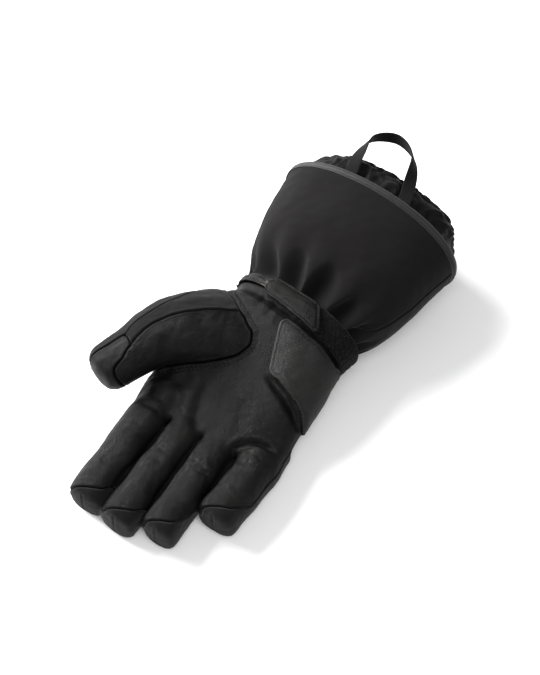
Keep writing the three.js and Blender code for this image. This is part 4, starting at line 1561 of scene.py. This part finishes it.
    def heel(self, palm: Skin) -> Piece:
        """The second layer of leather on the heel of the hand.

        Args:
            palm: The palm's panel.

        Returns:
            The piece.
        """
        solid = Skin.of_node("heel_pad")
        near = palm.kept((palm.points[palm.faces][:, :, 2] > 12).all(1))
        gap = distance_to(near.points, solid, 6.0)
        field_of_pad = near.blurred(gap - 1.15, self.rounds(2.0))
        top, _ = near.split(field_of_pad)
        top.points = top.blurred(top.points, self.rounds(1.5))
        edge = top.from_rims()
        rise = 0.15 + self.pad * np.sqrt(np.clip(1 - (1 - np.clip(edge / 1.5, 0, 1)) ** 2, 0, 1))
        rise += 0.3 * bell(edge - 1.2, 0.9) - 0.35 * bell(edge - self.pad_row, 0.7)
        rise += 0.3 * (1 - np.exp(-edge / 8.0))
        top.points = top.points + rise[:, None] * top.normals()
        # Painted highlight along the pad's raised edge, stronger on its left side where the key light falls,
        # partly wear; painted shade at its cut edge and its stitch row.
        left = ramp(40.0, 24.0, top.points[:, 0])
        top.fields = {
            "worn": (0.15 + 0.4 * left) * bell(edge - 0.9, 0.8),
            "tucked": np.maximum(bell(edge, 0.4), 0.8 * bell(edge - self.pad_row, 0.6)),
        }
        self.threads += PAD_STITCHES.rows(top.contours(edge, self.pad_row))
        return Piece("heel_pad_skin", top.walled(self.pad), ("heel_pad",), Slot.LEATHER, PAD_LEATHER, 0.7)


def along_way(turn: float) -> np.ndarray:
    """The level direction out of the cuff, for a turn about the upright axis."""
    return np.array([math.sin(turn), math.cos(turn), 0.0])


def across_way(turn: float) -> np.ndarray:
    """The level direction across the cuff."""
    return np.array([math.cos(turn), -math.sin(turn), 0.0])


@dataclass(frozen=True)
class Section:
    """An upright plane across the cuff, with the half width and half height of what it cuts.

    Attributes:
        middle: The middle of what it cuts.
        turn: Its turn about the upright axis.
        half: The half width.
        rise: The half height.
    """

    middle: np.ndarray
    turn: float
    half: float
    rise: float

    @staticmethod
    def at_end(points: np.ndarray, turn: float, far: bool) -> "Section":
        """The plane of a solid's end ring.

        Args:
            points: The solid's points.
            turn: The plane's turn about the upright axis.
            far: Whether it is the end towards the cuff's mouth.

        Returns:
            The section.
        """
        out, side = along_way(turn), across_way(turn)
        run = points @ out
        end = run.max() if far else run.min()
        ring = points[np.abs(run - end) < 0.5]
        across, high = ring @ side, ring[:, 2]
        middle = 0.5 * (across.min() + across.max()) * side + end * out
        middle[2] = 0.5 * (high.min() + high.max())
        return Section(middle, turn, float(np.ptp(across)) / 2, float(np.ptp(high)) / 2)

    def moved(self, run: float) -> "Section":
        """The section moved along the cuff."""
        return Section(self.middle + run * along_way(self.turn), self.turn, self.half, self.rise)

    def between(self, other: "Section", share: float) -> "Section":
        """A section part of the way to another.

        Args:
            other: The far section.
            share: How far towards it.

        Returns:
            The section.
        """

        def mix(a: object, b: object) -> object:
            """A value part of the way from one to the other."""
            return a + share * (b - a)

        return Section(
            mix(self.middle, other.middle),
            mix(self.turn, other.turn),
            mix(self.half, other.half),
            mix(self.rise, other.rise),
        )

    def ways(self, angles: np.ndarray) -> np.ndarray:
        """The direction outwards at each angle."""
        level = self.half * np.cos(angles)[:, None] * across_way(self.turn)
        return unit(level + self.rise * np.sin(angles)[:, None] * np.array([0.0, 0.0, 1.0]))

    def reach(self, tree: BVHTree, angles: np.ndarray, far: float = 150.0) -> np.ndarray:
        """How far out a solid's outside is at each angle.

        Args:
            tree: The solid's search tree.
            angles: The angles.
            far: From how far out to look.

        Returns:
            One distance an angle.
        """
        result = np.full(len(angles), np.nan)
        for k, way in enumerate(self.ways(angles)):
            start = self.middle + far * way
            hit = tree.ray_cast(Vector(start.tolist()), Vector((-way).tolist()), far)
            if hit[0] is not None:
                result[k] = far - hit[3]
        known = ~np.isnan(result)
        return np.interp(angles, angles[known], result[known], period=2 * math.pi)


def evened(grid: np.ndarray, across: float, along: float) -> np.ndarray:
    """A grid blurred round its closed columns and along its rows.

    Args:
        grid: Rows by columns.
        across: The spread round the columns, in cells.
        along: The spread along the rows, in cells.

    Returns:
        The blurred grid.
    """
    size = grid.shape[1]
    turns = np.fft.rfftfreq(size)
    soft = np.exp(-2.0 * (math.pi * turns * across) ** 2)
    result = np.fft.irfft(np.fft.rfft(grid, axis=1) * soft, size, axis=1)
    if along > 0:
        half = int(math.ceil(3 * along))
        weights = np.exp(-0.5 * (np.arange(-half, half + 1) / along) ** 2)
        weights /= weights.sum()
        first = 2 * result[:1] - result[1 : half + 1][::-1]
        last = 2 * result[-1:] - result[-half - 1 : -1][::-1]
        tall = np.concatenate([first, result, last])
        result = sum(w * tall[k : k + len(grid)] for k, w in enumerate(weights))
    return result


CUFF_SHEETS = {
    "gauntlet_front": Sheet((0.159, 0.116), Held.GATHERED),
    "gauntlet_back": Sheet((0.193, 0.111), Held.GATHERED),
}
CUFF_HEM = Seam(roll=0.9, tuck=0.8, bead=0.2, puff=0.0)
SLEEVE_SHEET = Sheet((0.349, 0.053), Held.GATHERED)
STRAP_SHEET = Sheet((0.126, 0.022), Held.STRETCHED)
STRIP_SHEET = Sheet((0.085, 0.0215), Held.STRETCHED)
LOOP_SHEET = Sheet((0.174, 0.0105), Held.STRETCHED)


@dataclass(frozen=True)
class Gather:
    """One rounded hollow of the gathered cloth, between two narrow crests, which the cuff's finish darkens
    with painted shade.

    Attributes:
        turn: Its place round the cuff, in degrees.
        half: Its half width, in degrees.
        long: How far it reaches from the wrist, in millimetres.
        deep: How deep it is, in millimetres.
    """

    turn: float
    half: float
    long: float
    deep: float

    def depth(self, degrees: np.ndarray, run: np.ndarray) -> np.ndarray:
        """How deep the hollow is at each place round and along the cuff.

        Args:
            degrees: The places round the cuff.
            run: The places along it, in millimetres.

        Returns:
            One depth a place.
        """
        beside = ((degrees - self.turn + 180) % 360 - 180) / self.half
        left = np.clip(1 - np.abs(beside) ** 2.0 - np.abs(run / self.long) ** 2.2, 0, 1)
        return self.deep * left**0.66


# Round the cuff from the little finger's side: place, half width, length and depth.
GATHERS = (
    (2, 11, 24, 3.6),
    (26, 9.5, 28, 5.0),
    (50, 12, 33, 5.8),
    (77, 14, 40, 6.0),
    (103, 12, 38, 5.6),
    (131, 15, 31, 5.2),
    (160, 11, 24, 3.4),
    (184, 12, 24, 3.2),
    (211, 14, 28, 3.6),
    (239, 14, 30, 3.6),
    (267, 14, 30, 3.6),
    (294, 13, 30, 3.6),
    (319, 12, 28, 3.6),
    (342, 10, 24, 3.4),
)


@dataclass
class Cuff:
    """The flared gauntlet in two halves, its bound rim, and the gathered sleeve inside it.

    Attributes:
        step: From one ring of points to the next.
        columns: How many points a ring has.
        wall: The cloth's thickness, with its padding.
        sleeve_wall: The sleeve's thickness.
        seam_drop: How far the left side seam is moved down near the wrist.
        gather_gain: How much deeper the gathers are pressed than their table says.
        stitched_to: How far round the rim the stitches go, in degrees.
        puffs: How many broad folds the sleeve has.
        ruffles: How many narrow ones it has at its mouth.
        threads: The stitches made so far.
        wrist: The cuff's end at the strap.
        rim: The cuff's end at its mouth.
        angles: Where the points of a ring lie.
        rim_reach: The rim's half width at each angle.
        hollow: How deep the gathers are, rings by points.
    """

    step: float = 1.2
    columns: int = 400
    wall: float = 1.9
    sleeve_wall: float = 1.2
    seam_drop: float = 15.0
    gather_gain: float = 1.25
    stitched_to: float = 170.0
    puffs: int = 13
    ruffles: int = 31
    threads: list[Skin] = field(default_factory=list)
    wrist: Section = field(init=False)
    rim: Section = field(init=False)
    angles: np.ndarray = field(init=False)
    rim_reach: np.ndarray = field(init=False)
    hollow: np.ndarray = field(init=False)

    def __post_init__(self) -> None:
        """Reads the cuff's two ends from the frame."""
        shells = solids(*CUFF_SHEETS)
        self.wrist = Section.at_end(shells.points, WRIST_TURN, False)
        self.rim = Section.at_end(shells.points, RIM_TURN, True)
        self.angles = np.linspace(0, 2 * math.pi, self.columns, endpoint=False)

    def build(self) -> list[Piece]:
        """Builds the cuff's pieces."""
        return [*self.gauntlet(), self.binding(), self.sleeve(), self.thread()]

    def thread(self) -> Piece:
        """The cuff's stitches."""
        return Piece("cuff_thread", joined(self.threads), (), Slot.BINDING, THREAD)

    def gauntlet(self) -> list[Piece]:
        """The two halves of the flared cuff, gathered at the wrist.

        Returns:
            The two pieces.
        """
        shells = []
        for name in CUFF_SHEETS:
            shell = Skin.of_node(name)
            shell.points = shell.points + 0.25 * shell.normals()
            shells.append(shell)
        tree = tree_of(joined(shells))
        length = float(np.linalg.norm(self.rim.middle - self.wrist.middle))
        shares = np.linspace(0.001, 0.999, int(length / self.step))
        sections = [self.wrist.between(self.rim, s) for s in shares]
        reach = np.array([s.reach(tree, self.angles) for s in sections]) - 0.25
        reach = evened(reach, 0.0032 * self.columns + 1.2, 3.6 / self.step)
        reach = self.gathered(reach, shares)
        ways = np.array([s.ways(self.angles) for s in sections])
        middles = np.array([s.middle for s in sections])
        places = middles[:, None] + reach[..., None] * ways
        skin = outward_tube(grid_skin(places, closed=True), ways)
        uneven = 0.55 * Ripple(48.0, 5).at(skin.points) + 0.12 * Ripple(13.0, 6).at(skin.points)
        fade = np.repeat(ramp(0.0, 0.12, shares) * ramp(1.0, 0.9, shares), self.columns)
        skin.points = skin.points + (uneven * fade)[:, None] * skin.normals()
        self.rim_reach = reach[-1]
        gaps = [distance_to(skin.points, Skin.of_node(name), 30.0) for name in CUFF_SHEETS]
        near_wrist = np.repeat(ramp(0.8, 0.15, shares), self.columns)
        near_wrist = near_wrist * ramp(-15.0, -35.0, skin.points[:, 0])
        side = gaps[0] - gaps[1] - self.seam_drop * near_wrist
        skin.fields = {"side": skin.blurred(side, 12), "hollow": self.hollow.ravel()}
        front, back = skin.split(skin.fields["side"])
        pieces = []
        for half, (name, sheet) in zip((front, back), CUFF_SHEETS.items()):
            top = self.hemmed(half)
            top.lifted()
            wall = top.walled(self.wall)
            pieces.append(Piece(f"{name}_skin", wall, (name,), Slot.CLOTH, CUFF_CLOTH, sheet))
        return pieces

    def gathered(self, reach: np.ndarray, shares: np.ndarray) -> np.ndarray:
        """Presses the gathers in, above the strap.

        Args:
            reach: The cuff's half width at each angle, a row for each section.
            shares: How far towards the rim each section is.

        Returns:
            The new half widths.
        """
        run = shares[:, None] * float(np.linalg.norm(self.rim.middle - self.wrist.middle))
        degrees = np.degrees(self.angles)[None, :] - 0.06 * (run - 10.0)
        depth = sum(Gather(*row).depth(degrees, run) for row in GATHERS)
        depth = depth * (0.25 + 0.75 * ramp(3.0, 13.0, run))
        self.hollow = evened(depth, 1.0 / 360 * self.columns, 1.0 / self.step)
        return reach - self.gather_gain * self.hollow

    def hemmed(self, half: Skin) -> Skin:
        """Turns in one half's edges, and paints shade along them and in the gathers' hollows.

        Args:
            half: The half, open at its edges.

        Returns:
            The half, changed.
        """
        gap = half.from_rims()
        lift = CUFF_HEM.lift(gap)
        half.points = half.points + lift[:, None] * half.normals()
        # Painted shade in the gathers' hollows and along the hems.
        hollow = 0.85 * ramp(0.6, 4.2, half.fields["hollow"])
        half.fields = {"tucked": np.maximum(0.8 * bell(gap, 0.8), hollow), "worn": np.zeros(len(gap))}
        return half

    def binding(self) -> Piece:
        """The tape folded round the rim, with a stitched edge.

        Returns:
            The piece.
        """
        profile = np.array(BINDING_PROFILE, float)
        ring = np.concatenate([profile, profile[:2]])
        fine = curve_through(np.concatenate([profile[-1:], ring]), 8 * (len(profile) + 2))
        fine = fine[8 : 8 + 8 * len(profile) : 2]
        ways = self.rim.ways(self.angles)
        out = along_way(RIM_TURN)
        wobble = 0.12 * Ripple(16.0, 8).at(self.rim.middle + self.rim_reach[:, None] * ways)
        places = []
        for run, proud in fine:
            base = self.rim.middle + (self.rim_reach + proud + wobble)[:, None] * ways
            places.append(base + run * out)
        skin = outward(grid_skin(np.array(places), closed=True, wraps=True))
        skin.lifted()
        # Painted shade in the groove at the tape's edge.
        groove = bell(fine[:, 0] - 0.2, 0.5) * (fine[:, 1] > -1)
        skin.fields = {"tucked": np.repeat(groove[:, None], self.columns, 1).ravel()}
        line = self.rim.middle + (self.rim_reach + 0.72)[:, None] * ways - 0.35 * out
        seen = np.flatnonzero(self.angles < math.radians(self.stitched_to))
        self.threads += RIM_STITCHES.rows([(line[seen], ways[seen])])
        return Piece("rim_tape", skin, ("rim_binding",), Slot.BINDING, RIM_TAPE, 0.9)

    def sleeve(self) -> Piece:
        """The thin sleeve that comes out of the cuff, gathered into its mouth.

        Returns:
            The piece.
        """
        solid = Skin.of_node("inner_sleeve")
        tree = tree_of(solid)
        out = along_way(RIM_TURN)
        last = float((solid.points @ out).max() - self.rim.middle @ out) - 0.05
        even = np.linspace(0, 1, int(1.5 * (last + 5) / self.step))
        runs = -5.0 + (last + 5.0) * (1 - (1 - even) ** 1.35)
        sections = [self.rim.moved(run) for run in runs]
        reach = np.array([s.reach(tree, self.angles) for s in sections])
        reach = evened(reach, 3.4 / 360 * self.columns, 2.0 / self.step)
        share = (runs / last)[:, None]
        ways = sections[0].ways(self.angles)
        middles = np.array([s.middle for s in sections])
        plain = middles[:, None] + reach[..., None] * ways[None]
        reach = reach + self.ruffled(plain, share)
        places = middles[:, None] + reach[..., None] * ways[None]
        skin = outward_tube(grid_skin(places, closed=True), np.repeat(ways[None], len(runs), 0))
        skin.lifted(0.6)
        skin.fields = {"worn": np.zeros(len(skin.points)), "tucked": np.zeros(len(skin.points))}
        wall = skin.walled(self.sleeve_wall)
        return Piece("sleeve_skin", wall, ("inner_sleeve",), Slot.SLEEVE, SLEEVE_CLOTH, SLEEVE_SHEET)

    def ruffled(self, places: np.ndarray, share: np.ndarray) -> np.ndarray:
        """How far the sleeve's puffs and ruffles stand out.

        Args:
            places: The sleeve's plain surface, rows by columns by three.
            share: How far out each row is, in a column.

        Returns:
            One distance a place.
        """
        flat = places.reshape(-1, 3)
        drift = Ripple(30.0, 9).at(flat).reshape(places.shape[:2])
        angle = self.angles[None, :] + 0.09 * drift
        puffs = 1 - np.abs(np.cos(self.puffs * angle + 1.1 * drift)) ** 1.4
        fine = 1 - np.abs(np.cos(self.ruffles * angle + 2.2 * drift)) ** 1.2
        crumple = Ripple(9.0, 10, (1.0, 1.6, 1.0)).at(flat).reshape(places.shape[:2])
        big = Ripple(24.0, 12).at(flat).reshape(places.shape[:2])
        rising = ramp(0.0, 0.35, share)
        at_mouth = ramp(0.62, 0.95, share)
        cinch = -1.5 * bell(share - 0.78, 0.05)
        return (
            rising * (1.5 * (puffs - 0.6) + 0.55 * crumple + 1.6 * big)
            + at_mouth * 1.5 * (fine - 0.5)
            + cinch
        )


def outward_tube(skin: Skin, ways: np.ndarray) -> Skin:
    """The tube with its faces turned outwards.

    Args:
        skin: The tube.
        ways: The direction out of it at each of its points.

    Returns:
        The tube, changed.
    """
    if (skin.normals() * ways.reshape(-1, 3)).sum() < 0:
        skin.turned_over()
    return skin


# The tape's outline: how far past the cuff's rim, and how far out of it.
BINDING_PROFILE = (
    (-1.3, 0.1),
    (-1.35, 0.7),
    (-0.35, 0.8),
    (0.25, 0.35),
    (0.9, 1.0),
    (2.2, 1.45),
    (3.9, 1.4),
    (5.2, 0.8),
    (6.0, -0.5),
    (6.1, -1.7),
    (5.5, -3.0),
    (4.0, -3.6),
    (1.6, -3.5),
    (0.3, -2.9),
    (0.0, -1.2),
)


# Where the strap's tab is sewn on.
CROSS_SEAM = (-12.0, 23.0, 60.0)


@dataclass
class Strap:
    """The wrist strap and the fuzzy strip that it closes on.

    Attributes:
        step: From one point of a band to the next.
        flare: How much the tab widens towards its end.
        least_inset: How much narrower than the tab the band is before it, on each side, at least.
        slant: How the end is cut off: shares of the way along and of the way across.
        slant_from: How far in the cut lies.
        row: How far the stitches lie from the edge.
        bend: How far the tab's edge towards the cuff bends down.
        wall: The strap's thickness.
        fuzz: The strip's thickness.
        threads: The stitches made so far.
    """

    step: float = 0.6
    flare: float = 3.0
    least_inset: float = 2.6
    slant: tuple[float, float] = (0.76, 0.65)
    slant_from: float = 12.5
    row: float = 2.3
    bend: float = 1.7
    wall: float = 1.9
    fuzz: float = 1.4
    threads: list[Skin] = field(default_factory=list)

    def edge_line(self, name: str, middle: np.ndarray) -> tuple[np.ndarray, float]:
        """The outer corner of a band along its edge towards the fingers.

        Args:
            name: The band's node, whose sections each have four corners.
            middle: The wrist's middle.

        Returns:
            The corners in order round the wrist, and the band's greatest width.
        """
        points = np.unique(Skin.of_node(name).points.round(3), axis=0)
        out, side = along_way(WRIST_TURN), across_way(WRIST_TURN)
        width = float(np.ptp(points @ out))
        points = points[points @ out < (points @ out).min() + 0.3 * width]
        local = points - middle
        level, high = local @ side, local[:, 2]
        turn = np.arctan2(high, level)
        ranked = np.sort(turn)
        widest = int(np.argmax(np.diff(np.concatenate([ranked, ranked[:1] + 2 * math.pi]))))
        start = ranked[(widest + 1) % len(ranked)]
        order = np.argsort((turn - start + 1e-4) % (2 * math.pi))
        pairs = order[: 2 * (len(order) // 2)].reshape(-1, 2)
        far = np.hypot(level, high)[pairs]
        return points[pairs[np.arange(len(pairs)), far.argmax(1)]], width

    def sheet(self, line: np.ndarray, width: float) -> tuple[Skin, np.ndarray, np.ndarray]:
        """A band's outside as a grid, before its outline is cut.

        Args:
            line: The band's edge towards the fingers.
            width: Its width.

        Returns:
            The grid, and how far along and across it each point is.
        """
        steps = np.concatenate([[0.0], np.cumsum(np.linalg.norm(np.diff(line, axis=0), axis=1))])
        fine = curve_through(line, int(steps[-1] / self.step))
        run = np.concatenate([[0.0], np.cumsum(np.linalg.norm(np.diff(fine, axis=0), axis=1))])
        across = np.linspace(0, width, int(width / self.step) + 1)
        places = fine[:, None] + across[None, :, None] * along_way(WRIST_TURN)
        skin = grid_skin(places)
        if skin.normals()[:, 2].sum() < 0:
            skin.turned_over()
        along = np.repeat(run, len(across))
        wide = np.tile(across, len(run))
        return skin, along, wide

    def build(self) -> list[Piece]:
        """Builds the strip, the strap and its stitches.

        Returns:
            The pieces.
        """
        shells = solids(*CUFF_SHEETS)
        middle = Section.at_end(shells.points, WRIST_TURN, False).middle
        return [self.strip(middle), self.strap(middle), self.thread()]

    def thread(self) -> Piece:
        """The strap's stitches."""
        return Piece("strap_thread", joined(self.threads), (), Slot.LEATHER, THREAD)

    def strip(self, middle: np.ndarray) -> Piece:
        """The fuzzy strip, sewn flat round the little finger's side.

        Args:
            middle: The wrist's middle.

        Returns:
            The piece.
        """
        line, width = self.edge_line("loop_strip", middle)
        skin, _, _ = self.sheet(line, width)
        edge = skin.from_rims()
        tufts = Ripple(1.7, 31, waves=40).at(skin.points)
        clumps = Ripple(5.0, 32).at(skin.points)
        lift = 0.22 * tufts + 0.15 * clumps - 0.9 * bell(edge, 0.8) - 0.8
        skin.points = skin.points + lift[:, None] * skin.normals()
        # Painted highlight on the tufts' tops and painted shade between them.
        skin.fields = {"worn": 0.8 * ramp(0.4, 1.3, tufts), "tucked": ramp(0.0, -1.0, tufts)}
        wall = skin.walled(self.fuzz, 1)
        return Piece("strip_fuzz", wall, ("loop_strip",), Slot.CLOSING_TAPE, CLOSING_FUZZ, STRIP_SHEET)

    def strap(self, middle: np.ndarray) -> Piece:
        """The leather strap: narrow at first, then a wider tab with a slanted, rounded end.

        Args:
            middle: The wrist's middle.

        Returns:
            The piece.
        """
        line, width = self.edge_line("wrist_strap", middle)
        line, narrow = self.straightened(line)
        line = line - self.flare * along_way(WRIST_TURN)
        width += self.flare
        skin, along, wide = self.sheet(line, width)
        if np.linalg.norm(skin.points[0] - line[-1]) < np.linalg.norm(skin.points[0] - line[0]):
            along = along.max() - along
        if line[0][2] > line[-1][2]:
            along = along.max() - along
        length = along.max()
        seam_at = float(along[np.linalg.norm(skin.points - np.array(CROSS_SEAM), axis=1).argmin()])
        tab = ramp(seam_at - 0.5, seam_at + 1.5, along)
        inset = (1 - tab) * max(narrow, self.least_inset)
        low = inset + self.flare * ramp(length, seam_at, along)
        sides = (wide - low, width - inset - wide)
        cut = self.slant[0] * (length - along) + self.slant[1] * (width - wide) - self.slant_from
        ends = (length - along, cut)
        field_in = soft_least((*sides, *ends), 1.2)
        skin.fields = {"along": along, "wide": wide}
        top, _ = skin.split(-field_in)
        top.points = top.blurred(top.points, 2)
        edge = top.from_rims()
        from_seam = top.fields["along"] - seam_at
        lift = -0.6 * bell(edge, 0.6) + 0.1 * bell(edge - 1.1, 0.8) - 0.4 * bell(edge - self.row, 0.6)
        lift -= self.bend * ramp(0.55 * width, width, top.fields["wide"])
        lift += 0.35 * ramp(2.6, 5.0, edge) - 0.55 * bell(from_seam, 0.7) + 0.3 * ramp(0.0, 1.5, from_seam)
        lift += 0.14 * Ripple(6.0, 33, (1.6, 1.0, 1.0)).at(top.points)
        lift += 0.2 * Ripple(17.0, 34).at(top.points)
        top.points = top.points + lift[:, None] * top.normals()
        # Painted highlight with real wear on the patch before the cross seam; the strap is also paler along
        # its edges.
        rubbed_and_highlight = np.exp(-(((from_seam + 4.0) / 4.5) ** 2)) * ramp(-0.6, 0.9, Ripple(4.0, 35).at(top.points))
        edges = 0.35 * bell(edge - 0.8, 0.8) * ramp(-0.2, 1.0, Ripple(9.0, 36).at(top.points))
        self.threads += STRAP_STITCHES.rows(top.contours(edge, self.row))
        top.fields = {"worn": np.clip(0.9 * rubbed_and_highlight + edges, 0, 1), "tucked": self.shaded(edge, from_seam)}
        wall = top.walled(self.wall, 1)
        return Piece("strap_skin", wall, ("wrist_strap",), Slot.LEATHER, STRAP_LEATHER, STRAP_SHEET)

    def shaded(self, edge: np.ndarray, from_seam: np.ndarray) -> np.ndarray:
        """Painted shade on the strap: at its cut edge, its stitches and its cross seam."""
        at_seams = np.maximum(bell(edge, 0.4), bell(from_seam, 0.5))
        return np.maximum(at_seams, 0.85 * bell(edge - self.row, 0.6))

    def straightened(self, line: np.ndarray) -> tuple[np.ndarray, float]:
        """The strap's edge line moved out to its widest, and how much narrower it starts.

        Args:
            line: The strap's edge line.

        Returns:
            The new line, and the difference in width.
        """
        out = along_way(WRIST_TURN)
        run = line @ out
        lowest = run.min()
        return line + (lowest - run)[:, None] * out, float(run.max() - lowest)


def soft_least(values: tuple[np.ndarray, ...], soft: float) -> np.ndarray:
    """The least of several values, rounded off where two of them are close."""
    total = sum(np.exp(-v / soft) for v in values)
    return -soft * np.log(total)


@dataclass
class Loop:
    """The webbing loop at the cuff's mouth.

    Attributes:
        step: From one section of the band to the next.
        sides: How many points a section has.
        widths: Between which widths the band's own is looked for.
    """

    step: float = 0.6
    sides: int = 56
    widths: tuple[float, float] = (8.5, 12.5)

    def sections(self) -> np.ndarray:
        """The band's four-cornered sections in order.

        Returns:
            Sections by four corners by three.
        """
        solid = Skin.of_node("pull_loop")
        pairs = solid.edges()
        a, b = solid.points[pairs[:, 0]], solid.points[pairs[:, 1]]
        length = np.linalg.norm(a - b, axis=1)
        thin = length < 1.3 * length.min()
        a, b = a[thin], b[thin]
        middle = (a + b) / 2
        thick = unit(a - b)
        gap = np.linalg.norm(middle[:, None] - middle[None], axis=2)
        level = np.abs(((middle[:, None] - middle[None]) * thick[:, None]).sum(2))
        alike = np.abs(thick @ thick.T) > 0.97
        width = self.common_width(gap, alike & (level < 0.6))
        fits = np.abs(gap - width) + 3 * level + np.where(alike, 0.0, 9.0)
        np.fill_diagonal(fits, 99)
        rings, used = [], set()
        best = [(i, int(np.argmin(fits[i]))) for i in range(len(a))]
        for i, j in sorted(best, key=lambda pair: fits[pair]):
            if i in used or j in used or fits[i, j] > 0.8:
                continue
            used |= {i, j}
            rings.append((a[i], b[i], a[j], b[j]))
        rings = np.array(rings)
        centres = rings.mean(1)
        order = [int(np.argmin(centres @ (along_way(RIM_TURN) + 0.5 * across_way(RIM_TURN))))]
        left = set(range(len(rings))) - set(order)
        while left:
            here = centres[order[-1]]
            near = min(left, key=lambda k: np.linalg.norm(centres[k] - here))
            order.append(near)
            left.remove(near)
        return rings[order]

    def common_width(self, gap: np.ndarray, alike: np.ndarray) -> float:
        """The distance that comes up most between the thin edges of like direction.

        Args:
            gap: The distance between each two edges.
            alike: Which two face alike and lie level.

        Returns:
            The distance.
        """
        found = gap[alike & (gap > self.widths[0]) & (gap < self.widths[1])]
        counts, edges = np.histogram(found, bins=40)
        k = int(np.argmax(counts))
        return float((edges[k] + edges[k + 1]) / 2)

    def build(self) -> list[Piece]:
        """Builds the loop.

        Returns:
            The piece, in a list.
        """
        rings = self.sections()
        centres = rings.mean(1)
        across, thick = [], []
        for ring in rings:
            wide = (ring[2] + ring[3] - ring[0] - ring[1]) / 2
            deep = ring[1] - ring[0]
            if across and np.dot(wide, across[-1]) < 0:
                wide = -wide
            across.append(wide)
            if thick and np.dot(deep, thick[-1]) < 0:
                deep = -deep
            thick.append(deep)
        length = np.linalg.norm(np.diff(centres, axis=0), axis=1).sum()
        count = int(length / self.step)
        centre = curve_through(centres, count)
        wide = curve_through(np.array(across), count)
        deep = curve_through(np.array(thick), count)
        run = np.linspace(0, length, count)
        turns = np.linspace(0, 2 * math.pi, self.sides, endpoint=False)
        c, s = np.cos(turns), np.sin(turns)
        flat_c = np.sign(c) * np.abs(c) ** 0.55
        flat_s = np.sign(s) * np.abs(s) ** 0.3
        ribs = 0.1 * np.cos(2 * math.pi * run / 1.5)[:, None] * np.abs(flat_s)[None]
        ridges = 0.07 * np.cos(9 * math.pi * flat_c)[None]
        half = 0.5 * flat_s[None] * (1 + (ribs + ridges) / 0.65)
        places = centre[:, None] + 0.5 * flat_c[None, :, None] * wide[:, None]
        places = places + half[..., None] * deep[:, None]
        tube = grid_skin(places, closed=True)
        skin = outward(Skin(tube.points, np.concatenate([tube.faces, *end_caps(count, self.sides)])))
        # The band is paler along its two edges.
        skin.fields = {"worn": np.repeat(0.3 * bell(np.abs(flat_c) - 0.93, 0.08)[None], count, 0).ravel()}
        return [Piece("loop_webbing", skin, ("pull_loop",), Slot.WEBBING, WEBBING, LOOP_SHEET)]


@dataclass(frozen=True)
class Studio:
    """The floor, the light and the camera.

    Attributes:
        half_floor: The floor's half side, in metres.
        surround: The strength of the light from all round.
        boxes: The soft boxes: name, place in metres, side in metres and power in watts.
        exposure: The view's exposure.
        gamma: The view's gamma.
        turn: How far round the camera stands, in degrees.
        rise: How far up it stands, in degrees.
        away: How far off it stands, in millimetres.
        target: What it looks at, in metres.
        sensor: Its sensor's longer side, in millimetres.
        picture: The picture's height in pixels.
        scale: How many pixels a millimetre at the target takes up.
    """

    half_floor: float = 3.0
    surround: float = 0.3
    boxes: tuple[tuple[str, tuple[float, float, float], float, float], ...] = (
        ("key", (-1.45, 0.12, 0.9), 1.2, 76.0),
        ("fill", (0.9, -0.9, 1.6), 1.6, 30.0),
    )
    exposure: float = 0.17
    gamma: float = 0.86
    turn: float = 32.0
    rise: float = 52.0
    away: float = 918.0
    target: tuple[float, float, float] = (0.0048, -0.00454, 0.0324)
    sensor: float = 36.0
    picture: int = 675
    scale: float = 1.315

    def build(self) -> None:
        """Makes them all."""
        self._floor()
        self._lights()
        self._camera()

    def _floor(self) -> None:
        """A plain pale sheet, far larger than the view."""
        mesh = bpy.data.meshes.new("floor")
        half = self.half_floor
        corners = [(-half, -half, 0), (half, -half, 0), (half, half, 0), (-half, half, 0)]
        mesh.from_pydata(corners, [], [(0, 1, 2, 3)])
        floor = bpy.data.objects.new("floor", mesh)
        material = bpy.data.materials.new("pale_floor")
        material.use_nodes = True
        shader = material.node_tree.nodes["Principled BSDF"]
        shader.inputs["Base Color"].default_value = (0.92, 0.92, 0.92, 1)
        shader.inputs["Roughness"].default_value = 0.9
        shader.inputs["Specular IOR Level"].default_value = 0.1
        mesh.materials.append(material)
        bpy.context.scene.collection.objects.link(floor)

    def _lights(self) -> None:
        """Soft boxes above and a pale surround."""
        world = bpy.data.worlds.new("surround")
        world.use_nodes = True
        world.node_tree.nodes["Background"].inputs["Color"].default_value = (1, 1, 1, 1)
        world.node_tree.nodes["Background"].inputs["Strength"].default_value = self.surround
        bpy.context.scene.world = world
        for name, place, size, power in self.boxes:
            light = bpy.data.lights.new(name, "AREA")
            light.shape = "SQUARE"
            light.size = size
            light.energy = power
            lamp = bpy.data.objects.new(name, light)
            lamp.location = place
            lamp.rotation_euler = Vector(place).to_track_quat("Z", "Y").to_euler()
            bpy.context.scene.collection.objects.link(lamp)
        view = bpy.context.scene.view_settings
        view.view_transform = "Standard"
        view.exposure = self.exposure
        view.gamma = self.gamma

    def _camera(self) -> None:
        """The photograph's angle: seen from the fingers' end and above."""
        turn, rise = math.radians(self.turn), math.radians(self.rise)
        back = Vector((math.sin(turn) * math.cos(rise), -math.cos(turn) * math.cos(rise), math.sin(rise)))
        camera = bpy.data.cameras.new("camera")
        camera.sensor_fit = "AUTO"
        camera.sensor_width = self.sensor
        camera.lens = self.sensor * self.scale * self.away / self.picture
        camera.clip_start = 0.01
        eye = bpy.data.objects.new("camera", camera)
        eye.location = Vector(self.target) + back * (self.away * MM)
        eye.rotation_euler = back.to_track_quat("Z", "Y").to_euler()
        bpy.context.scene.collection.objects.link(eye)
        bpy.context.scene.camera = eye


def main() -> None:
    """Builds the glove's pieces in order, then the studio."""
    logging.basicConfig(level=logging.INFO, format="%(name)s %(message)s")
    for group in (Hand(), Cuff(), Strap(), Loop()):
        for piece in group.build():
            piece.placed()
    Studio().build()


if __name__ == "__main__":
    main()
